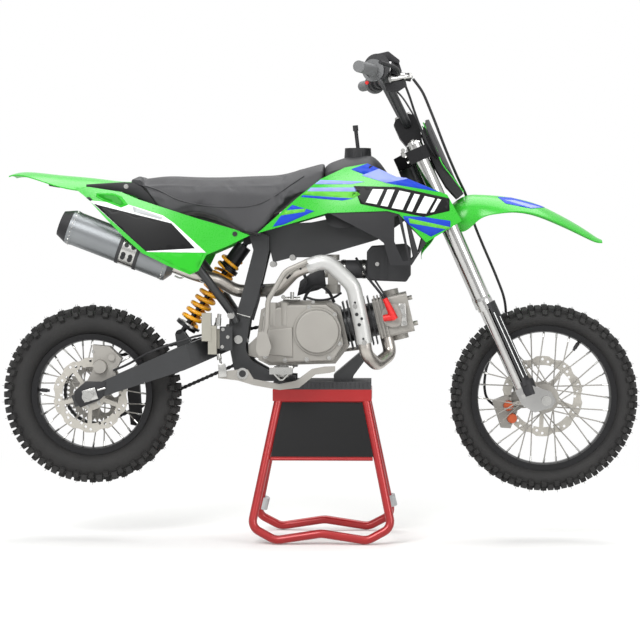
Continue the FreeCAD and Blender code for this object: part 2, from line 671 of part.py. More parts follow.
def front_caliper():
    x, z = size(FRONT_X), size(FRONT_Z)
    disc = size("disc_offset")
    outline = [(x - 132, z - 12), (x - 96, z + 2), (x - 66, z - 40), (x - 84, z - 84), (x - 110, z - 82)]
    body = prism(outline, disc - 18, disc + 18)
    slot = rod(V(x, disc - 9, z), V(x, disc + 5, z), size("front_disc_radius") + 6)
    body = body.cut(slot)
    arm = prism([(x - 96, z + 2), (x - 60, z + 18), (x - 20, z + 12), (x - 24, z - 14), (x - 66, z - 40)],
                disc + 10, disc + 18)
    foot = prism([(x - 56, z + 16), (x - 20, z + 12), (x - 24, z - 12), (x - 52, z - 10)], disc + 10,
                 size("leg_spread") - 17.3)
    shape_node("front_caliper", join([body, arm.cut(rod(V(x, 0, z), V(x, 200, z), 14)), foot]))


front_caliper()


def brake_hose():
    points = [(242, -179, 1186), (266, -165, 1156), (294, -140, 1091), (328, -100, 1006), (360, -40, 938),
              (384, 40, 898), (404, 84, 826), (433, 94, 758), (460, 96, 697), (488, 98, 626), (494, 116, 570),
              (470, 128, 505), (440, 124, 440), (434, 104, 392), (440, 100, 358), (468, 94, 336),
              (478, 84, 335), (478, size("disc_offset") + 18.3, 335)]
    points = [V(*point) for point in points]
    radii = []
    for i in range(1, len(points) - 1):
        before, after = points[i] - points[i - 1], points[i + 1] - points[i]
        radii.append(0.45 * min(before.Length, after.Length) / math.tan(before.getAngle(after) / 2))
    shape_node("brake_hose", tube(points, radii, 3.5))


brake_hose()


def swung(x, y, z):
    """A point of the swingarm's own frame, in the bike's frame."""
    turn = math.radians(size("swing_droop"))
    return V(size("pivot_x") + x * math.cos(turn) - z * math.sin(turn), y,
             size("pivot_z") + x * math.sin(turn) + z * math.cos(turn))


# frame
SHOCK_TOP = (-187, 0, 780)
SHOCK_EYE = swung(size("shock_ahead - swing_length"), 0, size("shock_rise"))
SPAR = [(-186, 812), (-129, 760), (-120, 722), (-69, 735), (-7, 735), (152, 781), (258, 856), (226, 905),
        (130, 856), (-20, 826), (-150, 820)]


def main_frame():
    half = size("head_tube_radius")
    top, low = -size("clamp_thick") / 2 - 1, -size("lower_clamp_drop") + size("lower_clamp_thick") / 2 + 1
    head = ring(steered(0, 0, low), steered(0, 0, top), half, size("stem_radius + bore_clearance"))
    spar = prism(SPAR, -32, 32)
    spar = spar.cut(rod(steered(0, 0, low - 30), steered(0, 0, top + 30), half - 2))
    spar = spar.cut(rod(steered(0, 0, low - 60), steered(0, 0, low + 4), 68))
    masts = [prism([(-186, 812), (-170, 754), (-201, 634), (-216, 585), (-179, 575), (-163, 614), (-129, 754),
                    (-129, 790)], side - 8, side + 8) for side in (-46, 46)]
    cross = prism([(-186, 812), (-174, 770), (-129, 770), (-129, 790)], -54, 54)
    eye, top = SHOCK_EYE, V(*SHOCK_TOP)
    room = rod(top - V(0, 16.3, 0), top + V(0, 16.3, 0), 12.3).fuse(rod(top + (eye - top) * 0.4, top, 24))
    shape_node("frame", join([head, spar, cross] + masts).cut(room))


main_frame()


def frame_plates():
    outline = [(-232, 598), (-218.5, 598), (-216.8, 584.7), (-179.2, 574.6), (-186, 530), (-190, 512),
               (-187, 487, 60), (-163, 459, 60), (-129, 440), (-101, 430), (-60, 428),
               (-60, "beam_top + pad_thick"), (-196, "beam_top + pad_thick"), (-216, 430), (-223, 454),
               (-232, 502), (-234, 540)]
    pivot_hole = ("pivot_x", "pivot_z", "pivot_bolt_radius + bore_clearance")
    item = plate("frame_plate", outline, "frame_half - frame_plate", "frame_plate", [pivot_hole])
    NODES.remove(item)
    pair("frame_plates", item)


frame_plates()


def subframe():
    half, radius = size("subframe_half"), size("subframe_radius")
    foot_y = -size("frame_half") - radius - 0.3
    lower = tube([(-214, foot_y, 566), (-224, foot_y, 590), (-306, -117, 708), (-440, -half, 868)],
                 [60, 200], radius)
    upper = tube([(-150, -54.3 - radius, 800), (-300, -half, 842), (-430, -half, 872),
                  (-600, -half + 14, 898)], [200, 200], radius)
    shape = both_sides(lower.fuse(upper))
    bar = rod(V(-560, -half + 10, 892), V(-560, half - 10, 892), radius - 2)
    shape_node("subframe", join(shape.Solids + [bar]))


subframe()


def swingarm():
    body = new_body("swingarm")
    tail, tyre_front = "0 - swing_length - 38.4", "0 - swing_length + rear_tyre_radius + 14"
    side = sketch(body, "arm_side", "XZ_Plane", [
        (tail, -14), (tail, 16), ("52.6 - swing_length", 24), (-150, 36), (-90, 36), (-50, 18), (17, 17),
        (17, -17), (-50, -20), (-154, -24), (-240, -20), ("45.6 - swing_length", -14)], 0, [
        (0, 0, "pivot_bolt_radius + bore_clearance"),
        ("0 - swing_length", 0, "rear_axle_radius + bore_clearance")])
    feature(body, "Pad", "arm_pad", side, middle=True, Length=f"2 * {ARM_OUT}")
    eye, rise = "shock_ahead - swing_length", "shock_rise"
    lugs = sketch(body, "shock_lug_outline", "XZ_Plane", [
        (f"{eye} - 22", 20), (f"{eye} - 11", f"{rise} + 6"), (f"{eye} + 11", f"{rise} + 6", 13),
        (f"{eye} + 24", 20)])
    feature(body, "Pad", "shock_lugs", lugs, middle=True, Length="2 * shock_eye_half + 16")
    gap = sketch(body, "shock_lug_gap_outline", "XZ_Plane", [
        (f"{eye} - 30", 37), (f"{eye} - 30", f"{rise} + 30"), (f"{eye} + 30", f"{rise} + 30"),
        (f"{eye} + 30", 37)])
    feature(body, "Pocket", "shock_lug_gap", gap, middle=True, Length="2 * shock_eye_half + 0.6")
    slot = sketch(body, "wheel_slot", "XY_Plane", [
        ("0 - swing_length - 90", f"0 - {ARM_IN}"), (tyre_front, f"0 - {ARM_IN}"), (tyre_front, ARM_IN),
        ("0 - swing_length - 90", ARM_IN)])
    doc.recompute()
    feature(body, "Pocket", "wheel_pocket", slot, middle=True, Length=200)
    for side_name, turn in (("left", 1), ("right", -1)):
        plate_in = f"{turn} * (frame_half - frame_plate - 0.3)"
        corner = sketch(body, "front_corner_" + side_name, "XY_Plane", [
            (40, plate_in), (40, f"{turn} * 140"), (-130, f"{turn} * 140"), (-130, f"{turn} * {ARM_OUT}"),
            (-45, plate_in)])
        feature(body, "Pocket", "corner_pocket_" + side_name, corner, middle=True, Length=200)
    channel = sketch(body, "chain_channel", "XZ_Plane", [(-200, 20), (-40, 6), (-40, 60), (-200, 60)],
                     f"0 - {CHAIN_Y}")
    feature(body, "Pocket", "chain_pocket", channel, middle=True, Length="chain_width + 10")
    swing(body)


swingarm()
axle("rear_axle", REAR_X, REAR_Z, "rear_axle_radius", ARM_IN, ARM_OUT, 13, REAR_HUB_LEFT)


def pivot_bolt():
    shank, head = "pivot_bolt_radius", "pivot_bolt_radius + 4"
    bolt = turned("pivot_bolt", [
        ("0 - frame_half - 5", 0), ("frame_half + 3.5", 0), ("frame_half + 3.5", head), ("frame_half", head),
        ("frame_half", shank), ("0 - frame_half", shank), ("0 - frame_half", head),
        ("0 - frame_half - 5", head)])
    place(bolt, "pivot_x", 0, "pivot_z")


pivot_bolt()


def shock():
    top, eye = V(*SHOCK_TOP), SHOCK_EYE
    way = (top - eye).normalize()
    length = (top - eye).Length
    half = V(0, size("shock_eye_half"), 0)
    damper = [rod(eye - half, eye + half, 12), rod(eye, top, 7),
              rod(eye + way * 22, eye + way * 32, 29), rod(top - way * 96, top - way * 86, 29),
              rod(top - way * 90, top - way * 18, 21), rod(top - half, top + half, 12)]
    shape_node("shock_damper", join(damper))
    spring_length = length - 96 - 32 - 1
    coils = 8.5
    helix = Part.makeHelix(spring_length / (coils + 0.5), spring_length - 13, 23)
    profile = Part.Wire(Part.makeCircle(5.5, V(23, 0, 0), V(0, 1, 0)))
    spring = Part.Wire(helix).makePipeShell([profile], True, True)
    item = shape_node("shock_spring", spring)
    item.Placement = FreeCAD.Placement(eye + way * 38, FreeCAD.Rotation(V(0, 0, 1), way))


shock()


# engine
def engine():
    body = new_body("engine_case")
    outline = [(-150, 600), (-160, 531), (-157, 469), (-128, 455), (43, 460), (78.2, 505), (55.3, 604.4),
               (24, 624), (-100, 620)]
    profile = sketch(body, "case_outline", "XZ_Plane", outline)
    feature(body, "Pad", "case_pad", profile, middle=True, Length="2 * engine_half")
    lug = sketch(body, "lug_outline", "XZ_Plane", [(-184, 508), (-184, 480), (-150, 470), (-150, 540)])
    feature(body, "Pad", "lug_pad", lug, middle=True, Length="2 * (frame_half - frame_plate - 0.3)")
    inner, outer = size("engine_half"), size("engine_half + cover_depth")
    crank = V(size("crank_x"), 0, size("crank_z"))
    front = [(37, 468), (66, 512), (48, 594), (20, 615), (-76, 614)]
    rear_right = [(-140, 596), (-150, 531), (-147, 475), (-120, 463)]
    rear_left = [(-84, 600), (-84, 466)]
    covers = []
    for side, rear in ((-1, rear_right), (1, rear_left)):
        cover = prism(rear + front, min(side * inner, side * outer), max(side * inner, side * outer))
        cover = cover.makeFillet(7, cross_edges(cover))
        covers.append(cover.makeFillet(5, rim_edges(cover, side * outer)))
    collar = rod(crank - V(0, inner, 0), crank - V(0, outer + 5, 0), size("clutch_radius") + 6)
    collar = collar.makeFillet(2, rim_edges(collar, -outer - 5))
    lid = rod(crank - V(0, outer, 0), crank - V(0, outer + 14, 0), size("clutch_radius"))
    lid = lid.makeFillet(4, rim_edges(lid, -outer - 14))
    boss_places = [(-136, 588), (-141, 533), (-137, 480), (-86, 470), (-30, 473), (28, 477), (55, 514),
                   (41, 588), (-24, 607)]
    bosses = [rod(V(x, -inner, z), V(x, -outer - 1.5, z), 7.5) for x, z in boss_places]
    ribs = [rod(V(x, 8 - outer, 560), V(x, 8 - outer, 619), 11) for x in (-118, -88)]
    step = prism([(-146, 548), (-146, 486), (-66, 478), (-66, 556)], -outer - 4, -inner)
    step = step.makeFillet(3, rim_edges(step, -outer - 4))
    right = join([covers[0], collar, lid, step] + bosses + ribs)
    drum = rod(crank + V(0, inner, 0), crank + V(0, outer + 8, 0), size("clutch_radius") + 2)
    drum = drum.makeFillet(6, rim_edges(drum, outer + 8))
    shape_node("engine_covers", Part.makeCompound([right, join([covers[1], drum])]))


engine()


def cylinder_local(shape):
    shape.Placement = FreeCAD.Placement(V(size("cylinder_x"), 0, size("cylinder_z")),
                                        FreeCAD.Rotation(V(0, 1, 0), -size("cylinder_tilt")))
    return shape


def cylinder():
    count, pitch, thick = int(size("fin_count")), size("fin_pitch"), size("fin_thick")
    high, wide = size("fin_half_height"), size("fin_half_width")
    start = 24
    shapes = [rod(V(18, 0, 12), V(start + count * pitch, 0, 12), size("bore_radius") + 8)]
    for i in range(count):
        x = start + i * pitch
        shapes.append(block((x, x + thick), (-wide, wide), (12 - high, 12 + high)))
    item = shape_node("cylinder", join(shapes))
    cylinder_local(item)
    front = start + count * pitch
    length, hh, hw = size("head_length"), size("head_half_height"), size("head_half_width")
    head = block((front, front + length), (-hw, hw), (12 - hh, 12 + hh))
    lengthwise = [edge for edge in head.Edges if abs(edge.tangentAt(edge.FirstParameter).x) > 0.99]
    head = head.makeFillet(9, lengthwise)
    fins = [block((front + 5 + i * pitch * 0.8, front + 5 + i * pitch * 0.8 + thick), (-hw - 7, hw + 7),
                  (12 - hh, 19 + hh)) for i in range(3)]
    studs = [rod(V(front + length, y, 12 + z), V(front + length + 12, y, 12 + z), 5)
             for y in (-30, 30) for z in (-34, 34)]
    cap_x = front + length - 40
    caps = [rod(V(cap_x, 0, 12 + side * hh), V(cap_x, 0, 12 + side * (hh + 14)), 21) for side in (-1, 1)]
    round_cap = rod(V(front + length * 0.5, -hw - 12, 12), V(front + length * 0.5, hw + 12, 12), 30)
    item = shape_node("cylinder_head", join([head, round_cap] + fins + studs + caps))
    cylinder_local(item)


cylinder()


def intake():
    boot = rod(V(56.3, 0, 704), V(123.7, 0, 704), 24)
    throat = rod(V(14, 0, 704), V(56, 0, 704), 22)
    body = join([block((22, 48), (-20, 20), (664, 728)), throat, block((26, 44), (-26, 26), (694, 714)),
                 rod(V(35, 0, 728), V(35, 0, 742), 17), rod(V(35, 0, 640), V(35, 0, 664), 20)])
    shape_node("carburettor", body)
    shape_node("intake_boot", boot)
    box = prism([(124, 676), (226, 672), (238, 690), (238, 760), (226, 771), (136, 765), (124, 750)], -62, 62)
    box = box.makeFillet(7, cross_edges(box))
    box = box.makeFillet(4, rim_edges(box, -62) + rim_edges(box, 62))
    ribs = [block((x, x + 5), (-64.5, 64.5), (680, 745)) for x in (150, 172)]
    shape_node("airbox", join([box] + ribs))


intake()


# exhaust
def exhaust():
    start, end = V(-372.2, -88, 712), V(-640, -92, 815)
    way = (end - start).normalize()
    route = [V(176, -20, 526.8), V(186, -22, 484), V(150, -70, 458), V(124, -112, 486), V(112, -114, 560),
             V(90, -114, 664), V(20, -114, 730), V(-60, -112, 700), V(-106, -62, 652), V(-146, -17, 648),
             V(-214, -19, 646), V(-262, -52, 676), start - way * 57, start - way * 0.3]
    bends = [26, 30, 34, 60, 60, 45, 40, 34, 36, 60, 50, 40]
    shape_node("exhaust_header", tube(route, bends, size("pipe_radius")))
    body = rod(start + way * 14, end, 44)
    cone = Part.makeCone(24, 44, 14.1, start, way)
    shape_node("muffler", join([body, cone]))
    cap = Part.makeCone(44, 32, 26, end, way).cut(rod(end + way * 6, end + way * 40, 18))
    shape_node("muffler_cap", cap)
    top = route[6] + (route[7] - route[6]) * 0.6
    foot = route[3] + (route[4] - route[3]) * 0.4
    inner = size("pipe_radius") + 0.3
    shape_node("heat_shield", half_shell([foot] + route[4:7] + [top], bends[3:6], inner, inner + size("skin"),
                                         V(0, -1, 0), 78))


exhaust()


# controls on the engine and the frame
def kick_lever():
    shaft = rod(V(-138, -size("engine_half + cover_depth") - 4.3, 499), V(-138, -140, 499), 9)
    boss = prism([(-158, 500), (-150, 484), (-126, 484), (-118, 506), (-130, 548), (-152, 546)], -150, -128)
    boss = boss.makeFillet(5, cross_edges(boss))
    points = [(-138, -142, 530), (-130, -146, 560), (-127, -146, 626), (-83, -146, 701), (-27, -146, 726)]
    lever = tube(points, [60, 40, 40], 6.5)
    shape_node("kick_lever", join([shaft, boss, lever]))


kick_lever()


def brake_pedal():
    boss = rod(V(-193, -size("frame_half") - 0.3, 434), V(-193, -119, 434), 8)
    outline = [(-256, 442), (-256, 426), (-205, 420), (-165, 408), (-98, 396), (-48, 402), (-6, 436),
               (30, 440), (44, 444), (44, 457), (16, 456), (-16, 450), (-56, 420), (-98, 411), (-165, 424),
               (-180, 448), (-205, 448)]
    item = plate("pedal_arm", outline, 118, 9)
    NODES.remove(item)
    doc.recompute()
    shape_node("brake_pedal", item.Shape.fuse(boss))


brake_pedal()


def footpegs():
    peg = block((-121, -64), (-190, -130), (440, 458))
    hollow = block((-112, -73), (-186, -134), (448, 480))
    notches = []
    for i in range(6):
        y = -184 + i * 9
        notch = along([(y - 4, 459), (y + 4, 459), (y, 451)], 80)
        notch.translate(V(-92.5, 0, 0))
        notches.append(notch)
    hanger = prism([(-106, 446), (-76, 446), (-76, 429.6), (-100, 430.5), (-106, 432.5)], -135, -40)
    loop = tube([(-113, -160, 443), (-92, -160, 421), (-71, -160, 443)], [7], 3)
    shape_node("footpegs", both_sides(join([peg.cut([hollow] + notches), hanger, loop])))


footpegs()


def gear_lever():
    shaft = rod(V(20, 92.3, 480), V(20, 112, 480), 6)
    lever = tube([(20, 108, 480), (60, 116, 486), (110, 124, 492)], [120], 5)
    toe = rod(V(108, 112, 492), V(108, 146, 492), 8)
    shape_node("gear_lever", join([shaft, lever, toe]))


gear_lever()


def rear_brake():
    side = size("frame_half")
    pump = join([block((-284, -262), (-side - 52, -side - 30), (486, 560)),
                 block((-300, -276), (-side - 54, -side - 28), (520, 592)),
                 block((-264, -226), (-side - 36, -side - 0.3), (500, 550))])
    shape_node("rear_brake_pump", pump)
    x, z = size(REAR_X), size(REAR_Z)
    disc = size("disc_offset")
    body = prism([(x + 8, z + 132), (x + 52, z + 128), (x + 84, z + 96), (x + 66, z + 62), (x + 10, z + 74)],
                 -disc - 16, -disc + 20)
    slot = rod(V(x, -disc - 5, z), V(x, -disc + 9, z), size("rear_disc_radius") + 6)
    arm = prism([(x + 12, z + 76), (x + 66, z + 66), (x + 70, z + 50), (x + 24, z - 12), (x - 16, z - 18),
                 (x - 18, z + 14)], -disc - 16, -size("hub_right") - 0.5)
    hole = rod(V(x, -100, z), V(x, 0, z), size("rear_axle_radius") + 5.1)
    shape_node("rear_caliper", join([body.cut(slot), arm.cut(hole)]))


rear_brake()


# drive
def belt(first, first_radius, second, second_radius):
    """The outline round two circles in the XZ plane, as a wire; first is behind second."""
    way = second - first
    lean = math.atan2(way.z, way.x)
    turn = math.asin((first_radius - second_radius) / way.Length)

    def spot(centre, radius, angle):
        return centre + V(math.cos(angle), 0, math.sin(angle)) * radius
    up, down = lean + math.pi / 2 - turn, lean - math.pi / 2 + turn
    edges = [Part.LineSegment(spot(first, first_radius, up), spot(second, second_radius, up)).toShape(),
             Part.Arc(spot(second, second_radius, up), spot(second, second_radius, lean),
                      spot(second, second_radius, down)).toShape(),
             Part.LineSegment(spot(second, second_radius, down), spot(first, first_radius, down)).toShape(),
             Part.Arc(spot(first, first_radius, down), spot(first, first_radius, lean + math.pi),
                      spot(first, first_radius, up)).toShape()]
    return Part.Wire(edges)


def chain():
    low = size(f"{CHAIN_Y} - chain_width / 2")
    rear, drive = V(size(REAR_X), low, size(REAR_Z)), V(size("drive_x"), low, size("drive_z"))
    half, big, small = size("chain_height / 2"), size("sprocket_radius"), size("drive_radius")
    run = belt(rear, big, drive, small)
    links = round(run.Length / size("chain_pitch"))
    spots = run.discretize(Number=2 * links + 1)[:-1]
    edges = {1: [], -1: []}
    for i, spot in enumerate(spots):
        ahead = (spots[(i + 1) % len(spots)] - spots[i - 1]).normalize()
        width = half if i % 2 else half * 0.68
        for side in edges:
            edges[side].append(spot + V(-ahead.z, 0, ahead.x) * (side * width))
    bands = [Part.Face(Part.makePolygon(points + points[:1])).extrude(V(0, size("chain_width"), 0))
             for points in edges.values()]
    bands.sort(key=lambda band: band.Volume)
    shape_node("chain", bands[1].cut(bands[0]))
    inward, outward = V(0, low - size("engine_half") - 0.3, 0), V(0, size("chain_width"), 0)
    shaft = rod(drive - inward, drive + outward + V(0, 5, 0), 12)
    wheel_body = rod(drive, drive + outward, small - half - 0.3)
    shape_node("drive_sprocket", join([wheel_body, shaft]))


chain()


def rear_sprocket():
    tip = size("sprocket_radius - chain_height / 2 - tooth_gap")
    root, teeth = tip - size("tooth_depth"), int(size("sprocket_teeth"))
    outline = []
    for i in range(teeth):
        for share, radius in ((0.0, root), (0.22, root), (0.48, tip), (0.74, tip)):
            turn = 2 * math.pi * (i + share) / teeth
            outline.append((radius * math.cos(turn), radius * math.sin(turn)))
    low, high = size(f"{CHAIN_Y} - sprocket_thick / 2"), size(f"{CHAIN_Y} + sprocket_thick / 2")
    holes = [rod(V(0, low, 0), V(0, high, 0), size("hub_radius") - 5.8)]
    middle = (root + size("hub_radius")) / 2
    for i in range(6):
        spot = V(math.cos(math.pi * i / 3), 0, math.sin(math.pi * i / 3)) * middle
        holes.append(rod(V(0, low, 0) + spot, V(0, high, 0) + spot, (root - size("hub_radius")) * 0.3))
    item = shape_node("rear_sprocket", prism(outline, low, high).cut(holes))
    item.Placement = FreeCAD.Placement(V(size(REAR_X), 0, size(REAR_Z)), FreeCAD.Rotation())


rear_sprocket()


def chain_guide():
    axle_x, axle_z, line = size(REAR_X), size(REAR_Z), size(CHAIN_Y)
    inside = size(f"{CHAIN_Y} - chain_width / 2") - 1
    outline = [(84, -4), (86, 20), (116, 20), (122, -76), (112, -90), (92, -86)]
    body = prism([(axle_x + x, axle_z + z) for x, z in outline], inside - 4.5, 2 * line - inside + 4.5)
    foot = [(86, 10), (88, 36), (114, 36), (114, 10)]
    seat_block = prism([(axle_x + x, axle_z + z) for x, z in foot], line + 5, size(ARM_IN) - 0.3)
    slot = block((axle_x, axle_x + 200), (inside, 2 * line - inside), (axle_z - 80, axle_z - 4))
    shape_node("chain_guide", join([body, seat_block]).cut(slot))


chain_guide()


# bodywork
def seat():
    top = size("seat_top")
    outside = saddle([(-486, top, top - 5, 920, 86, 92), (-415, top + 2, 925, 868, 95, 112),
                      (-337, top + 2, 922, 846, 98, 116), (-215, top + 2, 920, 810, 98, 118),
                      (-165, top + 4, 922, 796, 92, 118), (-92, 945, 925, 868, 85, 108),
                      (-37, 962, 940, 902, 80, 100), (12, 981, 960, 935, 72, 85)])
    tunnel = prism([(-520, 700), (-520, 897.5), (-430, 883.7), (-300, 853.8), (-165, 840), (-92, 860),
                    (-20, 892), (60, 892), (60, 700)], -86, 86)
    shape_node("seat", outside.cut(tunnel))


seat()


def fuel_tank():
    tank = saddle([(16, 970, 950, 845, 64, 84), (34, 983, 958, 816, 70, 90), (80, 998, 968, 812, 74, 92),
                   (135, 999, 970, 824, 70, 92), (165, 972, 950, 850, 60, 80), (196, 935, 925, 884, 40, 55)])
    saddle_room = prism(SPAR, -33.5, 33.5)
    saddle_room.translate(V(0, 0, 0.3))
    tank = tank.cut(saddle_room).cut(prism([(0, 700), (0, 800), (260, 800), (260, 700)], -200, 200))
    tank = tank.cut(rod(V(100, 0, 994), V(100, 0, 1040), 36))
    shape_node("fuel_tank", tank)
    cap = [rod(V(100, 0, 994.3), V(100, 0, 1019), 34), rod(V(100, 0, 1019), V(93, 0, 1078), 5)]
    shape_node("tank_cap", join(cap))
    return tank


TANK = fuel_tank()


def shrouds():
    columns = [[(-170, -116, 980), (-170, -128, 860), (-170, -128, 700)],
               [(0, -100, 980), (0, -128, 860), (0, -126, 700)],
               [(130, -112, 985), (130, -144, 860), (130, -134, 700)],
               [(200, -134, 985), (200, -152, 860), (200, -142, 700)],
               [(280, -140, 990), (280, -157, 850), (280, -146, 700)],
               [(390, -140, 990), (390, -158, 830), (390, -148, 700)]]
    outline = [(-154, 798), (-60, 882), (6, 936), (69, 966), (126, 976), (200, 941), (225, 938), (329, 895),
               (366, 829), (276, 774), (207, 846), (177, 854), (25, 849)]
    boss = rod(V(96, -80, 890), V(96, -133, 890), 8).cut(TANK)
    shape_node("shrouds", both_sides(join([panel(outline, columns, size("skin")), boss])))
    lower = [[(x, y + size("skin") + 0.3, z) for x, y, z in column] for column in columns]
    outline = [(31, 848), (40, 862), (177, 866), (220, 856), (288, 784), (276, 773), (239, 716), (185, 716),
               (168, 773), (154, 784)]
    slots = [prism(corners, -200, 0) for corners in (
        [(195, 776), (195, 840), (205, 843), (232, 728), (217, 726)],
        [(214, 836), (226, 828), (244, 736), (236, 728)],
        [(238, 812), (266, 786), (256, 748)])]
    shape_node("lower_shrouds", both_sides(panel(outline, lower, size("skin")).cut(slots)))


shrouds()


def side_panels():
    columns = [[(-660, -96, 960), (-660, -102, 860), (-660, -100, 680)],
               [(-520, -104, 960), (-520, -136, 860), (-520, -150, 680)],
               [(-400, -112, 960), (-400, -148, 840), (-400, -160, 680)],
               [(-280, -116, 960), (-280, -140, 830), (-280, -156, 680)],
               [(-160, -114, 960), (-160, -124, 830), (-160, -130, 680)]]
    outline = [(-629, 915), (-594, 888), (-540, 832), (-500, 793), (-449, 748), (-382, 715), (-325, 692),
               (-304, 702), (-284, 742), (-225, 767), (-175, 792), (-215, 808), (-314, 837), (-458, 884),
               (-504, 903), (-592, 917)]
    boss = rod(V(-384, -103.5, 801), V(-384, -152, 801), 7)
    shape_node("side_panels", both_sides(join([panel(outline, columns, size("skin")), boss])))


side_panels()


def rear_fender():
    shell = trough([(-805, 950, 60, 4), (-779, 957, 72, 8), (-700, 952, 84, 24), (-637, 946, 92, 34),
                    (-560, 938, 94, 30), (-487, 933, 88, 12)], size("skin"))
    feet = [rod(V(-550, side * 60, 902.2), V(-550, side * 60, 923), 6) for side in (-1, 1)]
    shape_node("rear_fender", join([shell] + feet))


rear_fender()


# stand
def stand():
    radius, base, top = size("stand_tube_radius"), size("stand_base_half"), size("stand_top_half")
    beam_top, beam_low = size("beam_top"), size("beam_top - beam_depth")
    left, right, out = size("stand_left"), size("stand_right"), size("stand_foot_out")
    middle, bend, panel_low = (left + right) / 2, 44, beam_low - size("panel_drop")
    loops = []
    for side in (-1, 1):
        def leg_y(z):
            return side * (top - radius + (base - top) * (beam_low - z) / beam_low)
        points = [(left + 14, leg_y(beam_low), beam_low),
                  (left - out + 8, leg_y(bend), bend), (left + 10, leg_y(radius), radius),
                  (middle, leg_y(radius), radius + size("stand_kick")), (right - 10, leg_y(radius), radius),
                  (right + out - 8, leg_y(bend), bend), (right - 14, leg_y(beam_low), beam_low)]
        loops.append(tube(points, [30, 40, 60, 40, 30], radius))
        lead = (out - 22) / (beam_low - bend) * (beam_low - panel_low)
        back, face = leg_y(beam_low), leg_y(panel_low)
        corners = [V(left + 14, back, beam_low), V(right - 14, back, beam_low),
                   V(right - 14 + lead, face, panel_low), V(left + 14 - lead, face, panel_low)]
        panel_face = Part.Face(Part.makePolygon(corners + corners[:1]))
        loops.append(panel_face.extrude(V(0, side * size("panel_thick"), 0)))
        loops.append(rod(corners[3], corners[2], size("panel_rod")))
    frame = join([block((left, right), (-top, top), (beam_low, beam_top))] + loops)
    shape_node("stand", frame)
    pad = block((left + 2, right - 2), (-top, top), (beam_top, beam_top + size("pad_thick")))
    shape_node("stand_pad", pad)


stand()


def skid_plate():
    low = size("beam_top + pad_thick")
    outline = [(133, 486), (116, 496), (38, 430), (38, low), (86, low), (90, 428)]
    shape_node("skid_plate", prism(outline, -40, 40))


skid_plate()

doc.recompute()
for item in doc.Objects:
    if "Invalid" in item.State or "Error" in item.State:
        raise RuntimeError(f"{item.Label} didn't build: {item.State}")
for item in NODES:
    if item.Shape.isNull() or not item.Shape.isValid():
        raise RuntimeError(f"{item.Label} has no valid shape")

os.makedirs("parts", exist_ok=True)
for item in NODES:
    item.Shape.exportStep(f"parts/{item.Label}.step")
    box = item.Shape.BoundBox
    print(f"{item.Label:16s} {len(item.Shape.Solids)} solids {item.Shape.Volume / 1000:9.1f} cm3",
          [round(value) for value in (box.XMin, box.XMax, box.YMin, box.YMax, box.ZMin, box.ZMax)])
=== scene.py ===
import bpy
import json
import math
from mathutils import Matrix, Vector


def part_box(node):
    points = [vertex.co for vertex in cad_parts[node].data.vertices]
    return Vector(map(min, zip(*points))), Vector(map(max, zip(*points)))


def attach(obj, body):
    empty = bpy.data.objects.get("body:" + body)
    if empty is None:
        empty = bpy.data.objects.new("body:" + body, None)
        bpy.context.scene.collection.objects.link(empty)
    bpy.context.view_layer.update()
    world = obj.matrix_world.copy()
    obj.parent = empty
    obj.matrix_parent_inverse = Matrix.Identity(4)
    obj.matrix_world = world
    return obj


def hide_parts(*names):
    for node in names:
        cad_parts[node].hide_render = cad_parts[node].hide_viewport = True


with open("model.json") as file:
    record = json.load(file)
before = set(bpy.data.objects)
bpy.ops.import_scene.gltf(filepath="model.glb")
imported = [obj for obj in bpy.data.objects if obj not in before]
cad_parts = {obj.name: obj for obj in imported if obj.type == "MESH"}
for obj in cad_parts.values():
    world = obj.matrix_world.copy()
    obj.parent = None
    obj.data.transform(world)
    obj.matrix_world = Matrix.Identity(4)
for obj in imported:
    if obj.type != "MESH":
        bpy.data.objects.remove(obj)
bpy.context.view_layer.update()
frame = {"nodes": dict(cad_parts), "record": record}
nodes = frame["nodes"]
mm = 0.001
print("frame loaded:", len(nodes), "nodes")

# camera: the photo's own place, aim and lens
view = {"place": (197, -5700, 793), "aim": (-75, 2181, -85), "focalPixels": 2181, "framePixels": 640,
        "sensor": 36, "clipEnd": 60}


def setCamera():
    bpy.ops.object.camera_add(location=[value * mm for value in view["place"]])
    camera = bpy.context.object
    camera.rotation_euler = Vector(view["aim"]).to_track_quat("-Z", "Y").to_euler()
    camera.data.sensor_width = view["sensor"]
    camera.data.lens = view["sensor"] * view["focalPixels"] / view["framePixels"]
    camera.data.clip_end = view["clipEnd"]
    bpy.context.scene.camera = camera


setCamera()


# material helpers
def linearColour(code):
    parts = [int(code[i:i + 2], 16) / 255 for i in (1, 3, 5)]
    return [part / 12.92 if part <= 0.04045 else ((part + 0.055) / 1.055) ** 2.4 for part in parts] + [1.0]


def addNode(tree, kind, values=None, links=None, **settings):
    node = tree.nodes.new("ShaderNode" + kind)
    for name, value in settings.items():
        setattr(node, name, value)
    for socket, value in (values or {}).items():
        node.inputs[socket].default_value = value
    for socket, source in (links or {}).items():
        tree.links.new(source, node.inputs[socket])
    return node


def newMaterial(name, shader=None):
    # a Principled surface on Object coordinates, returned with its tree so that patterns can be linked in
    material = bpy.data.materials.new(name)
    material.use_nodes = True
    tree = material.node_tree
    tree.nodes.clear()
    surface = addNode(tree, "BsdfPrincipled", shader)
    addNode(tree, "OutputMaterial", links={"Surface": surface.outputs[0]})
    place = addNode(tree, "TexCoord").outputs["Object"]
    return material, tree, surface, place


def twoColours(tree, place, colours, scale):
    patch = addNode(tree, "TexNoise", {"Scale": scale, "Detail": 3.0}, {"Vector": place})
    return addNode(tree, "Mix", {6: linearColour(colours[0]), 7: linearColour(colours[1])},
                   {0: patch.outputs["Fac"]}, data_type="RGBA").outputs[2]


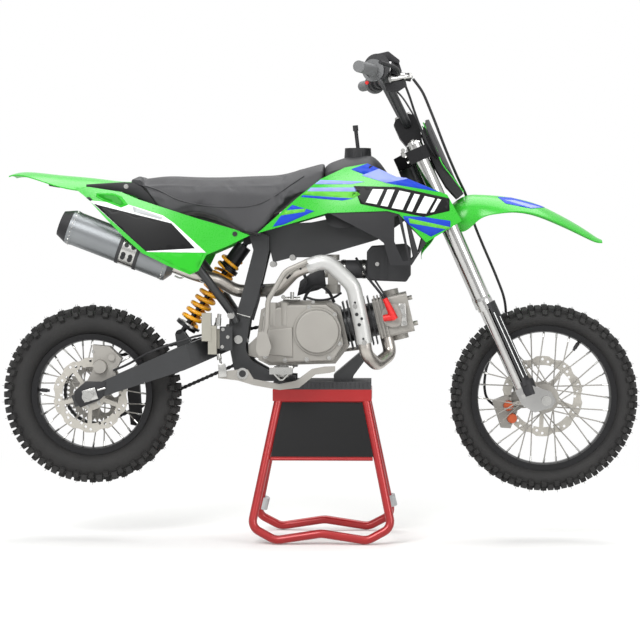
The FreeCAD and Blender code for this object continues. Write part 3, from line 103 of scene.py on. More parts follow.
def grainyMaterial(name, colours, grainMm, bump, roughness, shader=None, stretch=(1, 1, 1), patchMm=60):
    # two close colours in soft patches, and a fine grain that drives both the bump and the roughness
    material, tree, surface, place = newMaterial(name, shader)
    spread = addNode(tree, "Mapping", {"Scale": stretch}, {"Vector": place})
    grain = addNode(tree, "TexNoise", {"Scale": 1000 / grainMm, "Detail": 2.0}, {"Vector": spread.outputs[0]})
    relief = addNode(tree, "Bump", {"Strength": bump, "Distance": grainMm * 0.2 * mm},
                     {"Height": grain.outputs["Fac"]})
    rough = addNode(tree, "MapRange", {"To Min": roughness[0], "To Max": roughness[1]},
                    {"Value": grain.outputs["Fac"]})
    tree.links.new(twoColours(tree, place, colours, 1000 / patchMm), surface.inputs["Base Color"])
    tree.links.new(relief.outputs[0], surface.inputs["Normal"])
    tree.links.new(rough.outputs[0], surface.inputs["Roughness"])
    return material


# a look: its name, two close colours, grain in mm, bump, roughness from and to, the shader's other
# values, the grain's stretch and the patches' size in mm
looks = {
    # vulcanised rubber: matt black, dusted a little grey where it was handled
    "knobby_rubber": ("vulcanisedRubber", ("#19191a", "#2b2a29"), 3, 0.5, (0.62, 0.85),
        {"Specular IOR Level": 0.35}),
    # black anodised aluminium: a dark metal with a soft, even shine
    "black_alloy": ("anodisedBlackAluminium", ("#151516", "#1d1d1f"), 1.2, 0.08, (0.28, 0.4),
        {"Metallic": 0.55}),
    # die-cast aluminium, painted warm grey: fine sandy skin
    "cast_alloy": ("dieCastAluminium", ("#8c8984", "#9b9892"), 1.6, 0.22, (0.42, 0.56), {"Metallic": 0.35}),
    # zinc plated steel: bright with faint streaks
    "bright_steel": ("zincPlatedSteel", ("#a3a3a1", "#bfbebb"), 4, 0.05, (0.18, 0.32), {"Metallic": 1.0},
        (1, 1, 6)),
    # ground stainless steel: satin with a grind along the face
    "disc_steel": ("groundStainlessSteel", ("#a6a39c", "#bebab2"), 2.5, 0.1, (0.3, 0.45),
        {"Metallic": 0.85}, (1, 8, 1)),
    # polished aluminium tube: near mirror with long polishing lines
    "polished_tube": ("polishedAluminium", ("#a4a4a3", "#c0bfbd"), 3, 0.04, (0.12, 0.2), {"Metallic": 1.0},
        (6, 6, 0.4)),
    # black powder coat on steel: half gloss, slight orange peel
    "black_paint": ("blackPowderCoat", ("#202122", "#2b2c2e"), 4, 0.12, (0.34, 0.46),
        {"Specular IOR Level": 0.5}),
    # black moulded polypropylene: fine grain, dull shine
    "black_plastic": ("blackPolypropylene", ("#18181a", "#232325"), 1.5, 0.15, (0.46, 0.6),
        {"Specular IOR Level": 0.35}),
    # green moulded polypropylene: clean colour, smooth and rather glossy
    "green_plastic": ("greenPolypropylene", ("#24a620", "#2eb228"), 2.5, 0.03, (0.24, 0.32),
        {"Subsurface Weight": 0.06, "Subsurface Radius": (0.4, 1.0, 0.3), "Subsurface Scale": 0.004}),
    # grey grip rubber: soft and matt
    "grip_rubber": ("greyGripRubber", ("#5d5e5f", "#6c6d6e"), 2, 0.4, (0.6, 0.75)),
    # powder-coated spring wire: warm yellow, half gloss
    "yellow_spring": ("yellowPowderCoat", ("#f0a20c", "#fab41c"), 3, 0.08, (0.3, 0.4),
        {"Coat Weight": 0.3, "Coat Roughness": 0.2}),
    # grey nylon: flat and slightly chalky
    "grey_plastic": ("greyNylon", ("#8d8a80", "#9a978c"), 1.5, 0.12, (0.45, 0.55)),
    # stainless exhaust pipe: warm heat tint in soft patches
    "steel_pipe": ("heatTintedStainless", ("#928c85", "#cbc7c1"), 5, 0.05, (0.24, 0.36), {"Metallic": 0.9},
        (1, 1, 1), 45),
    # brushed titanium sleeve: grey metal with lines along the brush
    "titanium": ("brushedTitanium", ("#787b7d", "#898c8e"), 1.2, 0.06, (0.34, 0.46),
        {"Metallic": 0.85, "Anisotropic": 0.4}, (0.3, 3, 3), 90),
    # red candy paint on steel tube: deep colour under a clear coat
    "red_paint": ("redCandyPaint", ("#8e0b0f", "#a31315"), 5, 0.05, (0.26, 0.34),
        {"Metallic": 0.25, "Coat Weight": 0.35, "Coat Roughness": 0.08}),
    # ribbed rubber mat: black and dull
    "pad_rubber": ("matRubber", ("#232325", "#2e2e30"), 3, 0.4, (0.6, 0.75)),
    # red silicone: the cap on the spark plug
    "red_silicone": ("redSilicone", ("#c8191b", "#d8221f"), 2, 0.1, (0.4, 0.5)),
    # brushed aluminium sheet: the light grey shield over the exhaust
    "satin_alloy": ("brushedAluminiumSheet", ("#b0b0ae", "#bfbfbd"), 1.5, 0.08, (0.36, 0.46),
        {"Metallic": 0.45}),
    # orange anodised aluminium: pistons of the front brake
    "orange_alloy": ("orangeAnodised", ("#b4512f", "#c25c36"), 1.5, 0.08, (0.3, 0.42), {"Metallic": 0.5}),
}

# printed vinyl: flat colours under a thin gloss film
vinyl = {"white": "#e9ebea", "blue": "#1a3fb4", "lavender": "#8c9ae6", "black": "#0c0c0d", "lime": "#5cb43a",
         "green": "#29ad24", "forest": "#178815", "grey": "#b0b3b4"}
for colour, code in vinyl.items():
    looks["vinyl_" + colour] = ("printedVinyl_" + colour, (code, code), 2, 0.02, (0.36, 0.46),
                                {"Specular IOR Level": 0.2})

# embossed seat vinyl: dark grey, with a fine cross rib that is coarser than real so that it shows
seatLook = {"colours": ("#2c2c2e", "#3b3b3d"), "patchScale": 14.0, "turn": 28, "ribScale": 150.0,
            "bump": 0.35, "ribDepth": 0.6, "roughness": (0.5, 0.66)}


def seatMaterial():
    material, tree, surface, place = newMaterial("embossedSeatVinyl", {"Specular IOR Level": 0.4})
    turned = addNode(tree, "Mapping", {"Rotation": (0.0, math.radians(seatLook["turn"]), 0.0)},
                     {"Vector": place})
    rib = addNode(tree, "TexWave", {"Scale": seatLook["ribScale"], "Distortion": 1.5, "Detail": 1.0},
                  {"Vector": turned.outputs[0]}, wave_type="BANDS", bands_direction="X")
    relief = addNode(tree, "Bump", {"Strength": seatLook["bump"], "Distance": seatLook["ribDepth"] * mm},
                     {"Height": rib.outputs["Fac"]})
    low, high = seatLook["roughness"]
    rough = addNode(tree, "MapRange", {"To Min": low, "To Max": high}, {"Value": rib.outputs["Fac"]})
    tree.links.new(twoColours(tree, place, seatLook["colours"], seatLook["patchScale"]),
                   surface.inputs["Base Color"])
    tree.links.new(relief.outputs[0], surface.inputs["Normal"])
    tree.links.new(rough.outputs[0], surface.inputs["Roughness"])
    return material


materials = {look: grainyMaterial(*recipe) for look, recipe in looks.items()}
materials["seat_cover"] = seatMaterial()
slotOf = {part["node"]: part["material_slot"] for part in frame["record"]["subparts"]}


def dress(piece, slotName, lookName=None):
    piece.data.materials.clear()
    piece.data.materials.append(materials[lookName or slotName])


# nodes that look unlike their slot
otherLooks = {"chain": "black_alloy", "heat_shield": "satin_alloy"}
for nodeName, item in nodes.items():
    item.data.materials.clear()
    item.data.materials.append(materials[otherLooks.get(nodeName, slotOf[nodeName])])
print("materials made:", len(materials))


# modelling helpers
def freshStart():
    if bpy.context.object and bpy.context.object.mode != "OBJECT":
        bpy.ops.object.mode_set(mode="OBJECT")
    bpy.ops.object.select_all(action="DESELECT")


def pick(*pieces):
    freshStart()
    for piece in pieces:
        piece.select_set(True)
    bpy.context.view_layer.objects.active = pieces[0]


def settle(piece, name, body, slotName, lookName=None, smooth=35):
    # applies the place, names and dresses the piece, and lets it ride on its body
    pick(piece)
    bpy.ops.object.transform_apply(location=True, rotation=True, scale=True)
    if smooth:
        bpy.ops.object.shade_smooth_by_angle(angle=math.radians(smooth))
    piece.name = name
    dress(piece, slotName, lookName)
    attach(piece, body)
    return piece


def joinAll(pieces):
    pick(*pieces)
    if len(pieces) > 1:
        bpy.ops.object.join()
    return bpy.context.object


def copyOf(piece, matrix):
    twin = piece.copy()
    twin.data = piece.data.copy()
    twin.matrix_world = matrix
    bpy.context.scene.collection.objects.link(twin)
    return twin


def mergedCopy(nodeName):
    # a free copy of a CAD node, with its loose triangles joined up
    twin = copyOf(nodes[nodeName], Matrix.Identity(4))
    for key in list(twin.keys()):
        del twin[key]
    twin.parent = None
    pick(twin)
    bpy.ops.object.mode_set(mode="EDIT")
    bpy.ops.mesh.select_all(action="SELECT")
    bpy.ops.mesh.remove_doubles(threshold=1e-6)
    bpy.ops.object.mode_set(mode="OBJECT")
    return twin


def faceOutwards(piece):
    pick(piece)
    bpy.ops.object.mode_set(mode="EDIT")
    bpy.ops.mesh.select_all(action="SELECT")
    bpy.ops.mesh.normals_make_consistent(inside=False)
    bpy.ops.object.mode_set(mode="OBJECT")


def addModifier(piece, kind, **settings):
    pick(piece)
    modifier = piece.modifiers.new(kind.title(), kind)
    for name, value in settings.items():
        setattr(modifier, name, value)
    bpy.ops.object.modifier_apply(modifier=modifier.name)


def onScene(name, data):
    piece = bpy.data.objects.new(name, data)
    bpy.context.scene.collection.objects.link(piece)
    return piece


# the photo's scale: millimetres per pixel on the middle plane, the camera's distance, and one pixel's place
photo = {"mmPerPixel": 2.614, "distance": 5700, "pixel": (395, 235), "x": 197.4, "z": 793}


def seen(across, down, depth):
    # a point picked in the photo, at a depth known from the frame
    scale = photo["mmPerPixel"] * (photo["distance"] + depth) / photo["distance"]
    middleAcross, middleDown = photo["pixel"]
    return Vector((photo["x"] + (across - middleAcross) * scale, depth,
                   photo["z"] + (middleDown - down) * scale))


# small shapes, in millimetres, that the trim below is made from
def standAlong(piece, start, end):
    piece.rotation_euler = (end - start).to_track_quat("Z", "Y").to_euler()
    piece.location = (start + end) / 2 * mm
    bpy.ops.object.transform_apply(location=True, rotation=True)
    return piece


def rodPiece(start, end, radius, sides=20, endRadius=None):
    start, end = Vector(start), Vector(end)
    freshStart()
    bpy.ops.mesh.primitive_cone_add(vertices=sides, radius1=radius * mm, depth=(end - start).length * mm,
                                    radius2=(radius if endRadius is None else endRadius) * mm)
    return standAlong(bpy.context.object, start, end)


def bandPiece(start, end, radius, wall):
    # an open sleeve round a line: a strap, collar or clamp
    start, end = Vector(start), Vector(end)
    freshStart()
    bpy.ops.mesh.primitive_cylinder_add(vertices=48, radius=radius * mm, depth=(end - start).length * mm,
                                        end_fill_type="NOTHING")
    piece = standAlong(bpy.context.object, start, end)
    addModifier(piece, "SOLIDIFY", thickness=wall * mm, offset=1)
    return piece


def platePiece(outline, near, far, bevel=0):
    # an outline of (x, z) corners, filled between two depths
    count = len(outline)
    corners = [(x * mm, depth * mm, z * mm) for depth in (near, far) for x, z in outline]
    sides = [(i, (i + 1) % count, count + (i + 1) % count, count + i) for i in range(count)]
    mesh = bpy.data.meshes.new("plate")
    mesh.from_pydata(corners, [], sides + [tuple(range(count)), tuple(range(count, 2 * count))])
    piece = onScene("plate", mesh)
    faceOutwards(piece)
    if bevel:
        addModifier(piece, "BEVEL", width=bevel * mm, segments=2)
    return piece


def tubePiece(points, radius, fineness=6):
    curve = bpy.data.curves.new("tube", "CURVE")
    curve.dimensions = "3D"
    curve.bevel_depth = radius * mm
    curve.bevel_resolution = 3
    curve.resolution_u = fineness
    curve.use_fill_caps = True
    spline = curve.splines.new("BEZIER")
    spline.bezier_points.add(len(points) - 1)
    for knot, point in zip(spline.bezier_points, points):
        knot.co = Vector(point) * mm
        knot.handle_left_type = knot.handle_right_type = "AUTO"
    pick(onScene("tube", curve))
    bpy.ops.object.convert(target="MESH")
    return bpy.context.object


def boltPiece(place, radius, out=(0, -1, 0), height=4):
    # a washer under a six-sided head
    place, out = Vector(place), Vector(out).normalized()
    washer = rodPiece(place - out, place + out * 1.2, radius * 1.35)
    head = rodPiece(place, place + out * height, radius, sides=6)
    return joinAll([washer, head])


def mirrored(piece):
    twin = copyOf(piece, Matrix.Scale(-1, 4, Vector((0, 1, 0))))
    pick(twin)
    bpy.ops.object.transform_apply(scale=True)
    faceOutwards(twin)
    return twin


def bothSides(pieces):
    return pieces + [mirrored(piece) for piece in pieces]


def makePiece(name, shapes, body, slotName, lookName=None, smooth=35):
    return settle(joinAll(shapes), name, body, slotName, lookName, smooth)


# a kit is one piece made of shapes whose places were picked in the photo: (across, down) in pixels with
# the depth in mm. A pin stands straight out between two depths, a rod may stand out by a length, and a
# bolt is (across, down, depth, radius)
def rodEnds(rod):
    start = seen(*rod["from"]) - Vector((0, rod.get("lift", 0), 0))
    end = seen(*rod["to"]) if "to" in rod else start - Vector((0, rod["out"], 0))
    return start, end


def kitShapes(kit):
    shapes = [rodPiece(*rodEnds(rod), rod["radius"], rod.get("sides", 20), rod.get("endRadius"))
              for rod in kit.get("rods", {}).values()]
    shapes += [rodPiece(seen(*pin["at"], pin["inner"]), seen(*pin["at"], pin["outer"]), pin["radius"],
                        pin.get("sides", 20), pin.get("endRadius"))
               for pin in kit.get("pins", {}).values()]
    for plate in kit.get("plates", {}).values():
        outline = [tuple(seen(across, down, plate.get("drawnAt", plate["near"])).xz)
                   for across, down in plate["corners"]]
        shapes.append(platePiece(outline, plate["near"], plate["far"], plate.get("bevel", 0)))
    shapes += [tubePiece(tube.get("points") or [seen(*spot) for spot in tube["route"]], tube["radius"])
               for tube in kit.get("tubes", {}).values()]
    shapes += [boltPiece(seen(across, down, depth), radius, kit.get("boltOut", (0, -1, 0)),
                         kit.get("boltHeight", 4))
               for across, down, depth, radius in kit.get("bolts", {}).values()]
    return bothSides(shapes) if kit.get("bothSides") else shapes


def makeKits(kits, body="chassis"):
    for name, kit in kits.items():
        makePiece(name, kitShapes(kit), kit.get("body", body), kit["slot"], kit.get("look"))


# tyres: a smooth casing, then two rows of knobs modelled once and spun round it
tyreSizes = {
    "front": {"body": "front_wheel", "knobs": 42, "depth": 11, "bead": 186, "casingHalf": 37},
    "rear": {"body": "rear_wheel", "knobs": 34, "depth": 12, "bead": 156, "casingHalf": 43},
}
knobSizes = {
    "crown": {"length": 17, "width": 19, "deeper": 3, "lean": 0.12, "fromMiddle": 11.5, "down": 1.5},
    "side": {"length": 15, "width": 14, "deeper": 4, "lean": 1.12, "fromEdge": 3, "down": 11},
    "shoulder": {"length": 18, "width": 18, "deeper": 3, "lean": 0.5, "fromEdge": 14, "down": 0.2},
    "middle": {"length": 14, "width": 13, "deeper": 2, "down": 5.5},
}
knobTaper = {"length": 0.82, "width": 0.86, "bevel": 0.9}
whisker = {"across": 16, "below": 2, "above": 6, "radius": 0.9, "tip": 0.3}


def makeKnob(kind, height, across, high, side=0):
    sizes = knobSizes[kind]
    bpy.ops.mesh.primitive_cube_add(size=1)
    knob = bpy.context.object
    knob.scale = (sizes["length"] * mm, sizes["width"] * mm, (height + sizes["deeper"]) * mm)
    bpy.ops.object.transform_apply(scale=True)
    for corner in knob.data.vertices:
        if corner.co.z > 0:
            corner.co.x *= knobTaper["length"]
            corner.co.y *= knobTaper["width"]
    knob.rotation_euler = (-side * sizes.get("lean", 0), 0, 0)
    knob.location = (0, across * mm, (high - sizes["down"]) * mm)
    bpy.ops.object.transform_apply(location=True, rotation=True)
    addModifier(knob, "BEVEL", width=knobTaper["bevel"] * mm, segments=1)
    return knob


def knobRows(half, depth, outer):
    crown = outer - depth
    top = crown + depth / 2
    even, odd = [], []
    for side in (-1, 1):
        even.append(makeKnob("crown", depth, side * knobSizes["crown"]["fromMiddle"], top, side))
        even.append(makeKnob("side", depth, side * (half - knobSizes["side"]["fromEdge"]), crown, side))
        even.append(rodPiece((0, side * whisker["across"], outer - whisker["below"]),
                             (1, side * (whisker["across"] + 1), outer + whisker["above"]),
                             whisker["radius"], sides=4, endRadius=whisker["tip"]))
        odd.append(makeKnob("shoulder", depth, side * (half - knobSizes["shoulder"]["fromEdge"]), crown,
                            side))
    odd.append(makeKnob("middle", depth, 0, top))
    return even, odd


def spinRow(shapes, start, count):
    step = 2 * math.pi / count
    row = joinAll(shapes)
    row.rotation_euler = (0, start, 0)
    bpy.ops.object.transform_apply(rotation=True)
    bpy.ops.object.mode_set(mode="EDIT")
    bpy.ops.mesh.select_all(action="SELECT")
    bpy.ops.mesh.spin(steps=count - 1, dupli=True, angle=2 * math.pi - step, center=(0, 0, 0), axis=(0, 1, 0))
    bpy.ops.object.mode_set(mode="OBJECT")
    faceOutwards(row)
    return row


def makeTyre(end):
    sizes = tyreSizes[end]
    low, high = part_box(end + "_tyre")
    centre = (low + high) / 2
    outer = (high.z - low.z) / 2 / mm
    crown = outer - sizes["depth"]
    middle, reach = (crown + sizes["bead"]) / 2, (crown - sizes["bead"]) / 2
    freshStart()
    bpy.ops.mesh.primitive_torus_add(major_radius=middle * mm, minor_radius=reach * mm, major_segments=120,
                                     minor_segments=24, rotation=(math.pi / 2, 0, 0))
    casing = bpy.context.object
    bpy.ops.object.transform_apply(rotation=True)
    for point in casing.data.vertices:
        # fuller sides than a round tube
        across = point.co.y / (reach * mm)
        point.co.y = math.copysign(abs(across) ** 0.8, across) * sizes["casingHalf"] * mm
    even, odd = knobRows(sizes["casingHalf"], sizes["depth"], outer)
    rows = [spinRow(even, 0, sizes["knobs"]), spinRow(odd, math.pi / sizes["knobs"], sizes["knobs"])]
    tyre = joinAll([casing] + rows)
    tyre.location = centre
    settle(tyre, end + "TyreKnobbed", sizes["body"], "knobby_rubber", smooth=40)
    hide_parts(end + "_tyre")


for wheelEnd in tyreSizes:
    makeTyre(wheelEnd)
print("tyres made")


# decals: each is its colour, its convex outline in (x, z) mm and how far it is lifted off the panel
graphics = {
    "shrouds": {"body": "chassis", "slot": "green_plastic", "shapes": [
        ("blue", [(84, 961), (129, 977), (172, 963), (310, 902), (174, 925)], 0.3),
        ("lavender", [(111, 945), (158, 963), (231, 936), (174, 926)], 0.45),
        ("lavender", [(6, 934), (120, 929), (84, 923), (-9, 923)], 0.3),
        ("lavender", [(-18, 914), (95, 914), (100, 904), (-28, 905)], 0.3),
        ("lime", [(-28, 905), (100, 904), (109, 896), (91, 888), (-37, 897)], 0.3),
        ("blue", [(-39, 895), (91, 886), (63, 881), (-44, 890)], 0.3),
        ("black", [(91, 918), (202, 915), (335, 886), (335, 854), (270, 839), (109, 872)], 0.3),
        ("white", [(122, 876), (150, 871), (168, 909), (140, 910)], 0.5),
        ("white", [(160, 868), (178, 865), (196, 908), (178, 909)], 0.5),
        ("white", [(188, 862), (216, 857), (236, 900), (208, 906)], 0.5),
        ("white", [(226, 855), (240, 852), (260, 895), (246, 898)], 0.5),
        ("white", [(250, 850), (276, 847), (298, 886), (272, 892)], 0.5),
        ("white", [(286, 850), (296, 852), (314, 883), (305, 885)], 0.5),
        ("blue", [(217, 841), (270, 839), (337, 829), (337, 813), (288, 789), (224, 823)], 0.3),
        ("lime", [(231, 836), (337, 813), (328, 807), (234, 823)], 0.45),
        ("blue", [(-66, 870), (-9, 854), (-87, 820), (-116, 814), (-98, 839)], 0.3),
        ("lime", [(-84, 856), (-30, 861), (-34, 852), (-95, 843)], 0.45)]},
    "side_panels": {"body": "chassis", "slot": "green_plastic", "shapes": [
        ("white", [(-588, 882), (-488, 872), (-395, 843), (-366, 823), (-284, 748), (-434, 750)], 0.3),
        ("black", [(-575, 873), (-373, 823), (-312, 759), (-438, 752)], 0.5),
        ("grey", [(-473, 866), (-395, 838), (-400, 833), (-470, 852)], 0.5),
        ("green", [(-430, 750), (-290, 747), (-306, 704), (-325, 694)], 0.3),
        ("green", [(-569, 900), (-524, 900), (-503, 892), (-485, 870), (-503, 863), (-549, 880),
                   (-570, 891)], 0.6),
        ("forest", [(-562, 898), (-525, 896), (-509, 890), (-495, 872), (-505, 869), (-546, 884),
                    (-564, 893)], 0.75)]},
    "front_fender": {"body": "steering", "slot": "green_plastic", "facing": (0, 0.6, 0.8), "shapes": [
        ("blue", [(462, 892), (500, 890), (590, 865), (547, 861), (482, 874)], 0.3),
        ("lavender", [(478, 884), (505, 883), (576, 864), (548, 862)], 0.45)]},
}
decal = {"thick": 0.25, "leastFacing": 0.3}


def makeDecal(nodeName, shape, way, side):
    # the panel's own outer faces, cut by each side of the outline
    colour, outline, lift = shape
    twin = mergedCopy(nodeName)
    bpy.ops.object.mode_set(mode="EDIT")
    bpy.ops.mesh.select_all(action="DESELECT")
    bpy.ops.object.mode_set(mode="OBJECT")
    for face in twin.data.polygons:
        face.select = face.normal.dot(way) < decal["leastFacing"] or face.center.y * side < 0
    bpy.ops.object.mode_set(mode="EDIT")
    bpy.ops.mesh.delete(type="FACE")
    middle = Vector((sum(x for x, z in outline), 0, sum(z for x, z in outline))) / len(outline)
    for i, (x, z) in enumerate(outline):
        along = Vector((outline[i - 1][0] - x, 0, outline[i - 1][1] - z))
        normal = Vector((along.z, 0, -along.x)).normalized()
        if (middle - Vector((x, 0, z))).dot(normal) > 0:
            normal = -normal
        bpy.ops.mesh.select_all(action="SELECT")
        bpy.ops.mesh.bisect(plane_co=(x * mm, 0, z * mm), plane_no=normal, clear_outer=True, threshold=1e-7)
    bpy.ops.object.mode_set(mode="OBJECT")
    addModifier(twin, "SOLIDIFY", thickness=decal["thick"] * mm, offset=1)
    for point in twin.data.vertices:
        point.co += way * lift * mm
    twin.data.materials.clear()
    twin.data.materials.append(materials["vinyl_" + colour])
    return twin


def makeGraphics():
    for nodeName, kit in graphics.items():
        x, y, z = kit.get("facing", (0, 1, 0))
        for side, sideName in ((-1, "Right"), (1, "Left")):
            way = Vector((x, y * side, z)).normalized()
            sheet = joinAll([makeDecal(nodeName, shape, way, side) for shape in kit["shapes"]])
            sheet.name = nodeName.replace("_", "") + "Graphics" + sideName
            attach(sheet, kit["body"])


makeGraphics()
print("graphics laid")


# seat: a padded cover, swollen a little by simulation over the seat's own form
seatSizes = {"voxel": 6, "tailX": -440, "tailTop": 938, "pressure": 3.0, "quality": 5, "frames": 14,
             "mostMove": 7, "smoothing": 6}


def swellSeat(cushion):
    start = [point.co.copy() for point in cushion.data.vertices]
    cloth = cushion.modifiers.new("Cloth", "CLOTH")
    cloth.settings.use_pressure = True
    cloth.settings.uniform_pressure_force = seatSizes["pressure"]
    cloth.settings.effector_weights.gravity = 0
    cloth.settings.quality = seatSizes["quality"]
    for step in range(1, seatSizes["frames"] + 1):
        bpy.context.scene.frame_set(step)
    pick(cushion)
    bpy.ops.object.modifier_apply(modifier="Cloth")
    for point, before in zip(cushion.data.vertices, start):
        move = point.co - before
        if move.length > seatSizes["mostMove"] * mm:
            point.co = before + move.normalized() * seatSizes["mostMove"] * mm
    bpy.context.scene.frame_set(1)


def makeSeat():
    cushion = mergedCopy("seat")
    cushion.data.remesh_voxel_size = seatSizes["voxel"] * mm
    bpy.ops.object.voxel_remesh()
    for point in cushion.data.vertices:
        if point.co.x < seatSizes["tailX"] * mm:
            point.co.z = min(point.co.z, seatSizes["tailTop"] * mm)
    addModifier(cushion, "SMOOTH", factor=0.5, iterations=seatSizes["smoothing"])
    swellSeat(cushion)
    addModifier(cushion, "SUBSURF", levels=1, render_levels=1)
    settle(cushion, "seatCover", "chassis", "seat_cover", smooth=0)
    bpy.ops.object.shade_smooth()
    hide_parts("seat")


makeSeat()
print("seat made")


# bolts and screws
boltKits = {
    "chassisBolts": {"slot": "bright_steel", "bothSides": True, "bolts": {
        "upperMount": (272.6, 264.2, -32, 6), "frontMount": (292.3, 257.6, -32, 6),
        "strutFoot": (230.5, 315.4, -76, 7), "pumpMiddle": (227.4, 337.2, -90, 5),
        "pumpLow": (221.8, 347, -90, 5), "grabBracket": (125.5, 186.3, -101, 4.5),
        "airbox": (377, 264, -64.5, 4), "pumpTop": (222.5, 329.5, -90, 5)}},
    "steeringBolts": {"body": "steering", "slot": "bright_steel", "bothSides": True, "bolts": {
        "lowerClampA": (402.6, 150.8, -116, 4), "lowerClampB": (403.4, 155.6, -116, 4),
        "footClamp": (523.5, 396, -109, 5)}},
    "panelScrews": {"slot": "black_plastic", "bothSides": True, "pins": {
        "sidePanel": {"at": (234.5, 234), "inner": -129, "outer": -136, "radius": 8, "endRadius": 6},
        "shroud": {"at": (371, 168), "inner": -113, "outer": -122, "radius": 7, "endRadius": 6}}},
}
coverBolts = {"faceY": -93.2, "radius": 4.2,
              "places": [(-136, 588), (-141, 533), (-137, 480), (-86, 470), (-30, 473), (28, 477), (55, 514),
                         (41, 588), (-24, 607)]}

makeKits(boltKits)
makePiece("coverBolts", [boltPiece((x, coverBolts["faceY"], z), coverBolts["radius"])
                         for x, z in coverBolts["places"]], "chassis", "bright_steel")
print("bolts made")


# the wheels' small pieces: spoke nipples, valve and the brake disc's bolts
wheelTrim = {
    "front": {"body": "front_wheel", "bead": 171, "discSide": 1, "valveAt": 58},
    "rear": {"body": "rear_wheel", "bead": 141, "discSide": -1, "valveAt": 176},
}
spokes = {"count": 32, "flange": 34, "flangeSide": 32, "rimSide": 4, "lean": 26, "back": 1.6,
          "nippleLength": 13, "nippleRadius": 2.6}
valve = {"tail": 26, "seat": 1, "radius": 3.6, "collarFrom": 20, "collarTo": 4, "collarRadius": 5}
discBolts = {"count": 6, "circle": 31, "side": 50, "turn": 0.3, "radius": 4, "height": 3}


def aroundAxle(radius, turn, side=0):
    return Vector((radius * math.cos(turn), side, radius * math.sin(turn)))


def spokeNipples(centre, bead):
    nipples = []
    for i in range(spokes["count"]):
        side = 1 if i % 2 else -1
        lean = math.radians(spokes["lean"]) * (1 if (i // 2) % 2 else -1)
        turn = 2 * math.pi * i / spokes["count"]
        start = aroundAxle(spokes["flange"], turn - lean * spokes["back"], side * spokes["flangeSide"])
        tip = aroundAxle(bead, turn, side * spokes["rimSide"])
        way = (tip - start).normalized()
        nipples.append(rodPiece(centre + tip - way * spokes["nippleLength"], centre + tip,
                                spokes["nippleRadius"], sides=8))
    return nipples


def makeWheelTrim(end):
    sizes = wheelTrim[end]
    low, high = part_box(end + "_rim")
    centre = (low + high) / 2 / mm
    bead, body, side = sizes["bead"], sizes["body"], sizes["discSide"]
    makePiece(end + "SpokeNipples", spokeNipples(centre, bead), body, "bright_steel")
    out = aroundAxle(1, math.radians(sizes["valveAt"]))
    shapes = [rodPiece(centre + out * (bead - valve["tail"]), centre + out * (bead + valve["seat"]),
                       valve["radius"]),
              rodPiece(centre + out * (bead - valve["collarFrom"]), centre + out * (bead - valve["collarTo"]),
                       valve["collarRadius"])]
    makePiece(end + "Valve", shapes, body, "black_plastic")
    turns = [2 * math.pi * i / discBolts["count"] + discBolts["turn"] for i in range(discBolts["count"])]
    heads = [boltPiece(centre + aroundAxle(discBolts["circle"], turn, side * discBolts["side"]),
                       discBolts["radius"], (0, side, 0), discBolts["height"]) for turn in turns]
    makePiece(end + "DiscBolts", heads, body, "bright_steel")


for wheelEnd in wheelTrim:
    makeWheelTrim(wheelEnd)
print("wheel trim made")


# rear axle blocks on the swingarm's ends, and the front axle's heads
axleKits = {
    "armEndCaps": {"slot": "black_plastic", "bothSides": True, "plates": {
        "cap": {"corners": [(72.3, 392.4), (73, 400.9), (78.6, 408.6), (98.2, 400.8), (102, 397),
            (104.5, 382.4), (84.2, 381.9)], "near": -108, "far": -111, "bevel": 0.8}}},
    "axleBlocks": {"slot": "bright_steel", "bothSides": True,
        "rods": {"nut": {"from": (87.9, 395.6, -113), "out": 7, "radius": 12, "sides": 6},
            "stub": {"from": (87.9, 395.6, -113), "lift": 7, "out": 3, "radius": 8},
            "adjuster": {"from": (96, 391, -112), "to": (104, 388.6, -112), "radius": 3}},
        "plates": {"block": {"corners": [(80, 391.7), (93.3, 388.2), (96.8, 399.4), (82.8, 403.4)],
            "near": -111, "far": -114.5, "bevel": 0.8}}},
}
axleHead = {"inside": 1, "outside": 3, "radius": 9}


def makeAxleHeads():
    low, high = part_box("front_axle")
    end = Vector(((low.x + high.x) / 2, low.y, (low.z + high.z) / 2)) / mm
    head = rodPiece(end + Vector((0, axleHead["inside"], 0)), end - Vector((0, axleHead["outside"], 0)),
                    axleHead["radius"], sides=6)
    makePiece("frontAxleHead", bothSides([head]), "steering", "bright_steel")


makeKits(axleKits)
makeAxleHeads()


